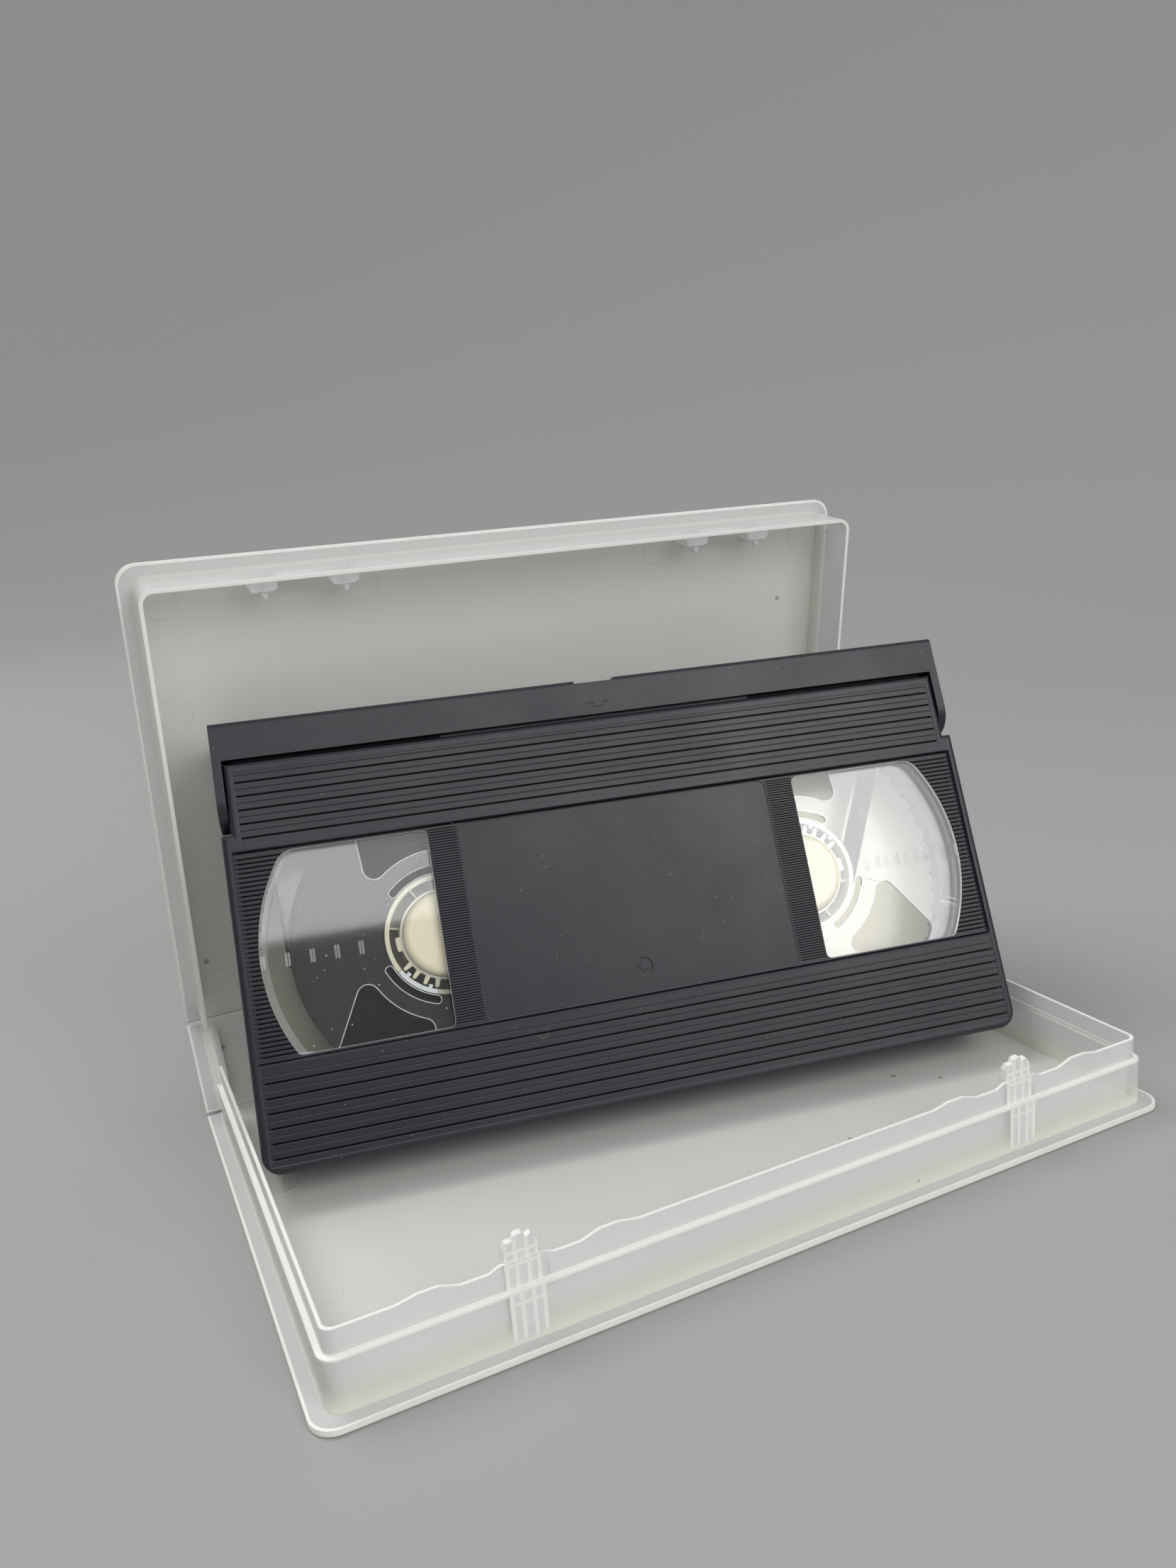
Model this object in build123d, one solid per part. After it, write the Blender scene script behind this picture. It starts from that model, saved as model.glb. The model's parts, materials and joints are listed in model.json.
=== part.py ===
"""Video cassette leaning in its open, hinged library case.

The row frame: X runs along the case, Y from the front lip of the tray to its hinge, Z up.
The origin is the centre of the tray's underside. All sizes are millimetres.
"""
from build123d import *
import os
from math import cos, sin, radians, degrees, sqrt, atan2, acos, asin

os.makedirs("parts", exist_ok=True)

# ---------------------------------------------------------------- library case
case_length = 203.0          # along the hinges
case_depth = 126.0           # front lip to hinge line
panel_t = 1.2                # flat panels of tray, spine and lid
case_lip = 3.2               # panel edge that stands out past the walls
case_corner_r = 5.0
wall_corner_r = 3.5
tray_wall_t = 2.0            # full thickness below the step
step_height = 12.0           # where the tray wall steps in
tongue_t = 0.8               # thin upper part of the tray wall
tongue_height = 17.2
tongue_shoulder = 0.8        # how far the rim swells beside a latch post
tongue_dip = 0.5             # how far it dips next to the post
rim_reach = 24.0             # how far from a post the rim's wave starts
rim_slope = 4.0              # length of each rise and fall of the wave
lid_wall_t = 1.0
lid_over_tongue_gap = 0.2
lid_step_gap = 0.5           # lid rim to the tray's step in the closed case
cassette_room = 1.4          # free height over the cassette in the closed case
spine_wall_t = 1.2
spine_wall_height = 8.0
spine_wall_inset = 3.0       # the end walls stay this far from the spine's hinge lines
spine_wall_slope = 3.0
hinge_bead_r = 0.6           # stands in for the flexing web of the living hinge
hinge_gap = 0.06
hinge_land = 0.5             # web left between bead and panel edge
hinge_web_t = 0.4
side_wall_setback = 6.0      # side walls stop this far from a hinge line
post_offset = 60.0           # latch posts and hooks, each side of the middle
post_width = 7.0
post_t = 1.2
post_top = 22.6
post_rib = 0.35
post_scallop = 1.2           # the knob stands this far over the post's shoulders
bracket_gap = 1.8            # free space between a post and its small bracket
hook_short_width = 9.0
hook_short_t = 2.2
hook_long_width = 8.4
hook_long_offset = 10.0
hook_depth = 9.0             # from the lid panel towards its rim
hook_reach = 6.0
case_fit = 0.3               # free gap between moving mouldings
spine_rest_angle = 44.5      # at rest, above the horizontal behind the tray
lean_gap = 0.4               # lid's inner face to the cassette's nearest front corner
root = 0.5                   # what grows out of a piece starts this far inside it
spill = 10.0                 # blanks and cutting tools run past the finished edge by this

# ---------------------------------------------------------------- cassette
shell_length = 188.0
shell_depth = 104.0
shell_height = 25.0
shell_split = 12.5
shell_wall = 2.0
shell_corner_r = 4.5
shell_edge_r = 1.2
floor_t = 2.0
roof_t = 2.4
band_drop = 1.0              # middle zone of the top lies this far below the bands
band_slope = 0.7             # run of the sloping step down from a band
rear_band = 24.7             # depth of the grooved band along the rear edge
front_band = 31.6            # door and grooved band together, from the front
field_drop = 0.15            # the grooved fields lie this far below their plain frame
seam_frame = 2.4             # width of that frame beside the door's seam
notch_length = 26.8          # the shell is narrower over this length, beside the door arms
notch_depth = 2.3
groove_pitch = 3.3
groove_width = 0.5
groove_cut = 0.6
groove_first = 1.65          # first groove of a field, from its rear edge
grip_line_width = 0.3
grip_line_cut = 0.2
rib_pitch = 1.08
rib_gap = 0.45
rib_cut = 0.3
fine_pitch = 0.63
fine_gap = 0.25
fine_cut = 0.2
comb_margin = 0.9            # plain strip between a comb and the band below it
label_half_width = 39.6
label_cut = 0.25
label_band_gap = 0.1
label_corner_r = 2.0
strip_half_width = 46.8
border = 1.9
gate_r = 2.2
gate_offset = 6.5            # gate mark above the label's lower edge
gate_cut = 0.4
part_fit = 0.05              # seated, not moving
run_fit = 0.3                # clear of a moving neighbour
pin_fit = 0.06               # shaft in its hole, radial

reel_x = 46.0
reel_y = -4.9
flange_side_gap = 1.5        # widest flange that the length allows
flange_rear_gap = 0.6        # widest flange that the depth allows
flange_t = 1.0
clear_flange_t = 0.8
lower_flange_z = 3.0
flange_below_roof = 3.3
hub_r = 14.4
hub_ring_t = 1.1
hub_floor_t = 6.0            # solid hub above the lower flange
hub_ribs = 8
hub_rib_half = 1.2           # half angle, as are those of tabs, fingers and hooks
hub_rib_drop = 2.0           # a rib's top, below the hub's
hub_tabs = 3
hub_tab_half = (9.0, 8.0)    # at its root and at its end
hub_tab_height = 3.0
hub_tab_reach = 1.0
hub_tab_turn = 48.0          # first tab, from the leader clamp
finger_shares = (-0.9, -0.3, 0.3, 0.9)       # places across the clamp's half angle
finger_half = (3.2, 1.8)
hook_shares = (-0.6, 0.6)
hook_half = (2.6, 1.6)
socket_r = 9.6
socket_wall = 1.3
socket_teeth = 6
socket_tooth = 1.6
socket_tooth_depth = 1.4
socket_roof = 2.5            # from the socket's end to the top of the dome
collar_z = 0.8
reel_hole_r = 13.0
dome_r = 10.3
dome_edge_r = 1.8
dome_below_roof = 1.1
rim_teeth = 60
rim_tooth = 0.7
rim_tooth_width = 1.2
tape_width = 12.7
tape_pack_margin = 8.0       # flange seen round the wound tape
tape_t = 0.25                # stands in for a tape 0.02 thick
tape_on_guide = 0.15         # running gap between the tape and a guide
clamp_half_angle = 22.0
clamp_fit = 0.4              # between the clamp's hooks and the hub's fingers
clamp_end_fit = 0.4          # degrees between the clamp and the ends of its slot
opening_in = 6.1             # the clear flange's openings start this far off the hub
opening_out = 1.5            # and end this far past the wound tape
opening_half_in = 34.5       # half angles of an opening's inner and outer arc
opening_half_out = 9.5
openings = 3
slot_in = 0.4                # its slim slots, from the hub's wall
slot_out = 2.2
slot_half = 28.0
opening_corner_r = 2.6
slot_corner_r = 0.8
supply_clamp = -127.5        # angles about the reels' axes at rest
takeup_clamp = 52.5
supply_opening = 109.5
takeup_opening = 81.5
window_margin = 1.5          # flange hidden beyond the window's arc
window_frame_t = 0.75        # glued frame under the pane
gauge_width = 0.9            # a mark is two fine lines
gauge_line = 0.25
gauge_length = 2.9
gauge_drop = 1.75            # its far end, from the reel's axis
gauge_rise = 0.12
window_x = 47.0
window_t = 1.3
window_frame = 1.0
window_corner_r = 1.5
window_top_r = 5.0           # its outer corner towards the door
window_band_gap = 0.3
gauge_first = 20.0           # gauge marks, from the reel's axis outwards
gauge_margin = 0.6           # last mark to the window's arc
gauge_marks = 5
screw_shaft_r = 1.2
screw_head_r = 2.5
screw_boss_r = 2.8
screw_seat_z = 1.9
screw_head_t = 1.4
screw_slot = 0.7
screw_side = 9.5             # rear screws, from the shell's ends and its rear edge
screw_rear = 6.5
screw_front_side = 23.0      # the two beside the mouth, from the ends and the front
screw_front_back = 15.0
screw_middle_back = 19.0     # the middle one, from the front
cheek_height = 6.0           # side walls of the top shell beside the mouth
side_pocket = (34.0, 74.0)   # openings of the floor behind the door
middle_pocket = 24.0
roller_side = 12.0           # front guides, from the shell's ends
roller_back = 7.0            # and from its front
roller_r = 3.0
guide_pin_r = 1.2
corner_way = 4.5             # room for the tape beside each front guide

door_depth = 10.0            # the door's top plate with its seam
door_pivot_back = 19.0
door_pivot_pin_r = 1.5
door_seam_gap = 0.8
door_arm_gap = 0.2           # between a door arm and the shell's side
door_chin = 8.0              # depth of an arm's lower front corner
door_shelf = 2.6            # ledge of the shell below the door's seam
door_shelf_t = 1.3
door_t = 1.5
door_arm_r = 6.6
door_bottom = 1.0
dent_half = 5.2              # the middle notch in the door's front edge
dent_depth = 0.9
dent_height = 6.0
arrow_rise = 0.25
arrow_from_edge = 2.6        # its tip, from the door's front face
arrow_half = 3.0
arrow_head = 3.6
arrow_stem_half = 1.1
arrow_length = 4.7
latch_pivot_back = 12.0
latch_pivot_z = 8.0
latch_t = 2.0
latch_post_r = 1.0
latch_boss_r = 2.6
latch_half = 1.6
pivot_over = 0.9             # a pivot post stands this far past its lever
spring_wire = 0.4
spring_pitch = 0.52
spring_turns = 4
spring_clear = 0.35          # inside the coil, round its pin

brake_pivot_x = 14.0
brake_pivot_rear = 6.0
brake_t = 2.4
brake_boss_r = 2.3
brake_post_r = 1.1
brake_arm_half = 1.6
brake_tip_half = 0.4
release_hole_r = 3.2
release_rear = 11.0
release_half = 3.4           # half width of the release lever's foot
release_foot_t = 1.6
release_stem_half = 2.0
release_stem_height = 9.0
release_front = 4.5
release_back = 4.0
leaf_t = 0.3
leaf_width = 8.0
leaf_land = 14.0             # half of the leaf spring's flat middle
leaf_tip = 6.0               # its flat ends, on the domes
brake_spring_half = 18.0
brake_spring_t = 0.35
brake_spring_width = 1.8

# ---------------------------------------------------------------- cassette pose in the tray
cassette_lean = 23.7
cassette_yaw = -10.93
cassette_foot = (0.9, 10.9)  # middle of the lower rear edge on the tray floor
cassette_rest_gap = 0.2


def block(x0, x1, y0, y1, z0, z1):
    """A box given by its lowest and highest corners."""
    return Pos((x0 + x1) / 2, (y0 + y1) / 2, (z0 + z1) / 2) * Box(x1 - x0, y1 - y0, z1 - z0)


def rod(x, y, z0, z1, r):
    """A cylinder along Z."""
    return Pos(x, y, (z0 + z1) / 2) * Cylinder(r, z1 - z0)


def ring(x, y, z0, z1, r_out, r_in):
    """A tube along Z."""
    return rod(x, y, z0, z1, r_out) - rod(x, y, z0 - 1, z1 + 1, r_in)


def rod_x(x0, x1, y, z, r):
    """A cylinder along X."""
    return Pos((x0 + x1) / 2, y, z) * Rot(0, 90, 0) * Cylinder(r, x1 - x0)


def slab(points, z0, z1):
    """A closed polygon in XY, carried from z0 to z1."""
    face = make_face(Polyline(*points, close=True).edges())
    return Pos(0, 0, z0) * extrude(face, z1 - z0, dir=(0, 0, 1))


def side_slab(points, x0, x1):
    """A closed polygon of (y, z) points, carried along X."""
    face = make_face(Polyline(*[(0, y, z) for y, z in points], close=True).edges())
    return Pos(x0, 0, 0) * extrude(face, x1 - x0, dir=(1, 0, 0))


def front_slab(points, y0, y1):
    """A closed polygon of (x, z) points, carried along Y."""
    face = make_face(Polyline(*[(x, 0, z) for x, z in points], close=True).edges())
    return Pos(0, y0, 0) * extrude(face, y1 - y0, dir=(0, 1, 0))


def rounded(x0, x1, y0, y1, z0, z1, r):
    """A plate with four round upright corners."""
    sketch = Pos((x0 + x1) / 2, (y0 + y1) / 2) * RectangleRounded(x1 - x0, y1 - y0, r)
    return Pos(0, 0, z0) * extrude(sketch, z1 - z0, dir=(0, 0, 1))


def joined(first, pieces):
    """One solid from a piece and all that grows out of it."""
    return first.fuse(*pieces).clean()


def cut_all(body, tools):
    """A body less a whole list of cutting tools, in one pass."""
    return body.cut(*tools)


def save(name, shape):
    """Writes one sub-part, as one file of its solids."""
    solids = shape.solids()
    made = solids[0] if len(solids) == 1 else Compound(children=list(solids))
    made.label = name
    export_step(made, "parts/" + name + ".step")


# ================================================================ library case
half_length = case_length / 2
front_y = -case_depth / 2
hinge_y = case_depth / 2
hinge_z = panel_t / 2
spine_width = shell_height + cassette_room + panel_t       # hinge line to hinge line
lid_depth = spine_width + panel_t - step_height - lid_step_gap
wall_x = half_length - case_lip            # outer face of the tray's side walls
wall_front = front_y + case_lip
tray_inner_x = wall_x - tray_wall_t
tray_inner_front = wall_front + tray_wall_t
tongue_outer_x = wall_x - lid_wall_t - lid_over_tongue_gap
tongue_outer_front = wall_front + lid_wall_t + lid_over_tongue_gap
bead_reach = hinge_bead_r + hinge_land     # the panels' own edge starts here


def rim_profile():
    """The front rim: it swells beside each latch post and dips next to it."""
    rise = tongue_height + tongue_shoulder
    dip = tongue_height - tongue_dip
    seat = tongue_height + tongue_shoulder / 2
    near = (post_width + bracket_gap) / 2
    half = [(rim_reach, tongue_height), (rim_reach - rim_slope, rise),
            (rim_reach - 2 * rim_slope, rise), (rim_reach - 3 * rim_slope, dip),
            (near + rim_slope / 2, dip), (near, seat)]
    steps = [(-offset, height) for offset, height in half] + half[::-1]
    points = []
    for side in (-1, 1):
        points += [(side * post_offset + offset, height) for offset, height in steps]
    return points


def latch_post(centre):
    """A thin gridded tongue that stands inside the front wall, with a scalloped top."""
    y0 = tongue_outer_front + tongue_t
    y1 = y0 + post_t
    half = post_width / 2
    shoulder = post_top - post_scallop
    knob = post_width / 6
    outline = [(centre - half, panel_t), (centre - half, shoulder - knob),
               (centre - half + knob / 2, shoulder), (centre - knob * 1.3, shoulder),
               (centre - knob, post_top - knob / 4), (centre - knob / 2, post_top),
               (centre + knob / 2, post_top), (centre + knob, shoulder),
               (centre + half - knob, shoulder + knob / 2), (centre + half, shoulder - knob),
               (centre + half, panel_t)]
    plate = front_slab(outline, y0 - tongue_t / 2, y1)
    rib_top = shoulder - post_scallop
    ribs = []
    for x in (-half + post_rib, -half / 3, half / 3, half - post_rib):
        ribs.append(block(centre + x - post_rib, centre + x + post_rib, y1 - post_rib,
                          y1 + post_rib, panel_t / 2, rib_top))
    for z in (step_height - 2 * post_scallop, tongue_height - post_rib, rib_top):
        ribs.append(block(centre - half, centre + half, y1 - post_rib, y1 + post_rib,
                          z - post_rib, z + post_rib))
    bracket_x = centre + half + bracket_gap
    bracket_z = step_height - 2 * post_scallop
    for x0, z1 in ((centre + half - post_rib, bracket_z + 2 * post_rib),
                   (bracket_x - 2 * post_rib, bracket_z + 4 * post_scallop)):
        ribs.append(block(x0, bracket_x, y0 - tongue_t / 2, y0 + post_rib, bracket_z, z1))
    return [plate] + ribs


def tray_walls():
    """Side and front walls: thick to the step, then a thin tongue with a wavy front rim."""
    back = hinge_y - side_wall_setback
    outer = rounded(-wall_x, wall_x, wall_front, back + spill, 0, step_height, wall_corner_r)
    inner = rounded(-tray_inner_x, tray_inner_x, tray_inner_front, back + 2 * spill, -1,
                    step_height + 1, wall_corner_r - tray_wall_t / 2)
    low = outer - inner - block(-half_length, half_length, back, back + 3 * spill, -1,
                                step_height + 1)
    tall = tongue_height + tongue_shoulder
    slim_r = wall_corner_r - lid_wall_t - lid_over_tongue_gap
    high = rounded(-tongue_outer_x, tongue_outer_x, tongue_outer_front, back + spill,
                   step_height - root, tall, slim_r)
    high -= rounded(-tongue_outer_x + tongue_t, tongue_outer_x - tongue_t,
                    tongue_outer_front + tongue_t, back + 2 * spill, step_height - 1, tall + 1,
                    slim_r - tongue_t / 2)
    high -= block(-half_length, half_length, back - 1.0, back + 3 * spill, step_height - 1,
                  tall + 1)
    keep_front = [(-half_length, step_height - 2), (half_length, step_height - 2),
                  (half_length, tongue_height)] + rim_profile()[::-1] + [
                  (-half_length, tongue_height)]
    rim_line = tongue_outer_front + 2 * slim_r
    front_part = high & front_slab(keep_front, front_y, rim_line)
    side_part = high & block(-half_length, half_length, rim_line, hinge_y, step_height - 2,
                             tongue_height)
    return [low, front_part, side_part]


def hinge_groove(panel, y, z, length):
    """Cuts the hollow that a hinge bead turns in."""
    return panel - rod_x(-length, length, y, z, hinge_bead_r + hinge_gap)


def case_base():
    """The tray: floor, walls, two latch posts, and half of the hinge to the spine."""
    floor = rounded(-half_length, half_length, front_y, hinge_y + 2 * spill, 0, panel_t,
                    case_corner_r)
    floor -= block(-half_length - 1, half_length + 1, hinge_y - hinge_gap * 2,
                   hinge_y + 3 * spill, -1, panel_t + 1)
    tray = joined(floor, tray_walls() + latch_post(-post_offset) + latch_post(post_offset))
    return hinge_groove(tray, hinge_y, hinge_z, half_length + spill)


def hinge_bead(length, reach, r=hinge_bead_r):
    """A round bead along X at the origin with a thin web that runs along +Y."""
    bead = rod_x(-length / 2, length / 2, 0, 0, r)
    web = block(-length / 2, length / 2, 0, reach, -hinge_web_t / 2, hinge_web_t / 2)
    return [bead, web]


def case_spine():
    """The spine panel, lying flat along +Y from its hinge, with a low wall at each end."""
    plate = block(-half_length, half_length, bead_reach, spine_width - bead_reach, -panel_t / 2,
                  panel_t / 2)
    bead_length = case_length - 2 * case_corner_r
    near = hinge_bead(bead_length, bead_reach + root)
    far = [Pos(0, spine_width, 0) * Rot(0, 0, 180) * piece
           for piece in hinge_bead(bead_length, bead_reach + root)]
    wall_face = tray_inner_x - case_fit
    ends = []
    for side in (-1, 1):
        x0 = side * wall_face
        x1 = side * (wall_face - spine_wall_t)
        low, high = min(x0, x1), max(x0, x1)
        crest = spine_wall_inset + spine_wall_slope
        crest_z = panel_t / 2 + spine_wall_height
        ends.append(side_slab([(spine_wall_inset, 0), (spine_width - spine_wall_inset, 0),
                               (spine_width - crest, crest_z), (crest, crest_z)], low, high))
    return joined(plate, near + far + ends)


def lid_hook(centre, width, lip_v, stepped):
    """A moulded gusset on the lid's top wall: a triangle with a smaller step under it."""
    root = lip_v + lid_wall_t / 3
    if not stepped:
        over_post = spine_width + hinge_z - post_top - case_fit
        return [block(centre - width / 2, centre + width / 2, lip_v - hook_short_t, root,
                      0, over_post)]
    high = panel_t / 2 + hook_depth
    wide = side_prism(centre, width, root, hook_reach * 2 / 3, high)
    slim = side_prism(centre, width / 2, root, hook_reach, high - panel_t)
    return [wide, slim]


def side_prism(centre, width, top, reach, high):
    """A block whose left flank slopes, as on a moulded gusset."""
    half = width / 2
    return slab([(centre - half, top), (centre - half + reach * 0.5, top - reach),
                 (centre + half * 0.7, top - reach), (centre + half, top - reach * 0.8),
                 (centre + half, top)], 0.0, high)


def case_lid():
    """The lid, lying flat along +Y from its hinge with its walls up along +Z."""
    lip_v = case_depth
    wall_v = case_depth - case_lip
    panel = rounded(-half_length, half_length, -2 * spill, lip_v, -panel_t / 2, panel_t / 2,
                    case_corner_r)
    panel -= block(-half_length - 1, half_length + 1, -3 * spill, hinge_gap * 2, -panel_t,
                   panel_t)
    rim_z = lid_depth - panel_t / 2
    wall = rounded(-wall_x, wall_x, -spill, wall_v, 0, rim_z, wall_corner_r)
    wall -= rounded(-wall_x + lid_wall_t, wall_x - lid_wall_t, -2 * spill, wall_v - lid_wall_t,
                    -1, rim_z + 1, wall_corner_r - lid_wall_t)
    wall -= block(-half_length, half_length, -3 * spill, side_wall_setback, -1, rim_z + 1)
    pieces = [wall]
    inner_v = wall_v - lid_wall_t
    for side in (-1, 1):
        centre = side * post_offset
        pieces += lid_hook(centre, hook_short_width, inner_v, False)
        for step in (-1, 1):
            pieces += lid_hook(centre + step * hook_long_offset, hook_long_width, inner_v, True)
    lid = joined(panel, pieces)
    return hinge_groove(lid, 0, 0, half_length + spill)


# ================================================================ cassette, in its own frame
# x along the cassette, y towards the door, z from its underside to the label side
cx = shell_length / 2
cy = shell_depth / 2
notch_x = cx - notch_depth
notch_y = cy - notch_length
roof_z = shell_height - roof_t
mid_top = shell_height - band_drop
field_top = shell_height - field_drop
lower_band_y = -cy + rear_band
upper_band_y = cy - front_band
door_seam_y = cy - door_depth
door_pivot_y = cy - door_pivot_back
door_pivot_z = shell_height - door_arm_r
latch_pivot_y = cy - latch_pivot_back
brake_pivot_y = -cy + brake_pivot_rear
release_y = -cy + release_rear
roller_x = cx - roller_side
roller_y = cy - roller_back
flange_r = min(cx - shell_wall - flange_side_gap - reel_x,
               cy - shell_wall - flange_rear_gap + reel_y)
tape_pack_r = flange_r - tape_pack_margin
window_r = flange_r - window_margin
upper_flange_z = roof_z - flange_below_roof
dome_top = roof_z - dome_below_roof
mouth_wall_y = reel_y + flange_r + flange_rear_gap
chamber_x = cx - shell_wall
chamber_corner_r = shell_corner_r - shell_wall / 2
screw_places = [(-cx + screw_side, -cy + screw_rear), (cx - screw_side, -cy + screw_rear),
                (-cx + screw_front_side, cy - screw_front_back),
                (cx - screw_front_side, cy - screw_front_back), (0.0, cy - screw_middle_back)]


def shell_outline(z0, z1, y_front):
    """The shell's plan: round rear corners, straight front, narrower along the door arms."""
    body = rounded(-cx, cx, -cy, cy + 2 * spill, z0, z1, shell_corner_r)
    body -= block(-cx - 1, cx + 1, y_front, cy + 3 * spill, z0 - 1, z1 + 1)
    for side in (-1, 1):
        x0, x1 = sorted((side * notch_x, side * (cx + 1)))
        body -= block(x0, x1, notch_y, cy + 3 * spill, z0 - 1, z1 + 1)
    return body


def chamber(z0, z1):
    """The hollow for the two reels, and the tape's way to the front corners."""
    hall = rounded(-chamber_x, chamber_x, -cy + shell_wall, mouth_wall_y, z0, z1,
                   chamber_corner_r)
    for side in (-1, 1):
        x0, x1 = sorted((side * (notch_x - shell_wall), side * (cx + 1)))
        hall -= block(x0, x1, notch_y - shell_wall, cy, z0 - 1, z1 + 1)
    return hall


def corner_ways(z0, z1):
    """The two front corners, open to the chamber, where the tape turns at its guides."""
    ways = []
    for side in (-1, 1):
        x0, x1 = sorted((side * (roller_x - corner_way), side * (notch_x - shell_wall)))
        ways.append(block(x0, x1, mouth_wall_y - chamber_corner_r, cy + 1, z0, z1))
    return ways


def window_shape(side, inset, z0, z1):
    """The window's plan: flat towards the label, an arc about the reel on the outside."""
    radius = window_r - inset
    margin = window_band_gap + inset
    band = block(-cx, cx, lower_band_y + margin, upper_band_y - margin, z0, z1)
    disc = rod(side * reel_x, reel_y, z0, z1, radius)
    x0, x1 = sorted((side * (window_x + inset), side * cx))
    plate = band & disc & block(x0, x1, -cy, cy, z0, z1)
    upright = plate.edges().filter_by(Axis.Z)
    doorward = [edge for edge in upright if edge.center().Y > reel_y + window_corner_r]
    corner = max(doorward, key=lambda edge: abs(edge.center().X)).center()
    small = [edge for edge in upright if (edge.center() - corner).length > window_corner_r]
    plate = fillet(small, window_corner_r)
    large = [edge for edge in plate.edges().filter_by(Axis.Z)
             if (edge.center() - corner).length < part_fit]
    return fillet(large, window_top_r - inset)


def grooves(y0, y1, half, width, depth, first):
    """Long grooves across a field of the shell, from its rear edge y0 up to y1."""
    tools = []
    y = y0 + first
    while y < y1 - width:
        tools.append(block(-half, half, y - width / 2, y + width / 2, field_top - depth,
                           shell_height + 1))
        y += groove_pitch
    return tools


def grooved_field(y0, y1, half):
    """A field slightly below its frame, with deep grooves and a fine line between each two."""
    field = block(-half, half, y0, y1, field_top, shell_height + 1)
    reach = half - grip_line_width
    deep = grooves(y0, y1, reach, groove_width, groove_cut, groove_first)
    fine = grooves(y0, y1, reach, grip_line_width, grip_line_cut,
                   groove_first + groove_pitch / 2)
    return [field] + deep + fine


def comb(x0, x1, pitch, gap, depth):
    """Fine grooves over the middle zone between two x limits, mirrored to both sides."""
    tools = []
    count = int((upper_band_y - lower_band_y - comb_margin) / pitch)
    for side in (-1, 1):
        low, high = sorted((side * x0, side * x1))
        for number in range(count):
            y = lower_band_y + comb_margin + number * pitch
            tools.append(block(low, high, y, y + gap, mid_top - depth, mid_top + 1))
    return tools


def screw_posts(z0, z1, r):
    return [rod(x, y, z0, z1, r) for x, y in screw_places]


def top_shell():
    """The upper half: roof with bands, grooves, label recess and window openings, and walls."""
    body = shell_outline(shell_split, shell_height, door_seam_y)
    top_edges = body.faces().sort_by(Axis.Z)[-1].edges()
    body = fillet(top_edges, shell_edge_r)
    mid = side_slab([(lower_band_y, mid_top), (upper_band_y, mid_top),
                     (upper_band_y + 2 * band_slope, mid_top + 2 * band_drop),
                     (lower_band_y - 2 * band_slope, mid_top + 2 * band_drop)],
                    -cx + border, cx - border)
    label = rounded(-label_half_width, label_half_width, lower_band_y + label_band_gap,
                    upper_band_y - label_band_gap, mid_top - label_cut, shell_height + 1,
                    label_corner_r)
    body = cut_all(body, [mid, chamber(shell_split - 1, roof_z)] + corner_ways(
        shell_split - 1, roof_z))
    posts = joined(screw_posts(shell_split, roof_z + root, screw_boss_r)[0],
                   screw_posts(shell_split, roof_z + root, screw_boss_r)[1:])
    body = body.fuse(*posts.solids())
    inner_x = notch_x - shell_wall
    for side in (-1, 1):
        x0, x1 = sorted((side * inner_x, side * notch_x))
        body = body.fuse(block(x0, x1, door_seam_y - shell_wall, cy - door_t - case_fit,
                               shell_split, shell_split + cheek_height))
    shelf_z = shell_height - door_t - case_fit
    body = body.fuse(block(-inner_x, inner_x, door_seam_y - shell_wall,
                           door_seam_y + door_shelf, shelf_z - door_shelf_t, shelf_z))
    drill = [rod(x, y, shell_split - 1, roof_z - 1, screw_shaft_r + part_fit)
             for x, y in screw_places]
    for side in (-1, 1):
        x0, x1 = sorted((side * cx, side * (inner_x - 1)))
        drill.append(rod_x(x0, x1, door_pivot_y, door_pivot_z, door_pivot_pin_r + pin_fit))
    drill += [label]
    drill += [window_shape(side, 0.0, roof_z - 1, shell_height + 1) for side in (-1, 1)]
    body = cut_all(body, drill)
    edge = cx - border
    fields = grooved_field(upper_band_y + border, door_seam_y - seam_frame, notch_x - border)
    fields += grooved_field(-cy + border, lower_band_y - border / 2, edge)
    combs = comb(window_x, edge, rib_pitch, rib_gap, rib_cut)
    combs += comb(label_half_width, strip_half_width, fine_pitch, fine_gap, fine_cut)
    floor_z = mid_top - label_cut
    gate_y = lower_band_y + gate_offset
    gate = rod(0, gate_y, floor_z - gate_cut, shell_height, gate_r)
    gate -= rod(0, gate_y, floor_z - gate_cut - 1, floor_z - gate_cut / 2, gate_r / 2)
    return cut_all(body, fields + combs + [gate])


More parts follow.
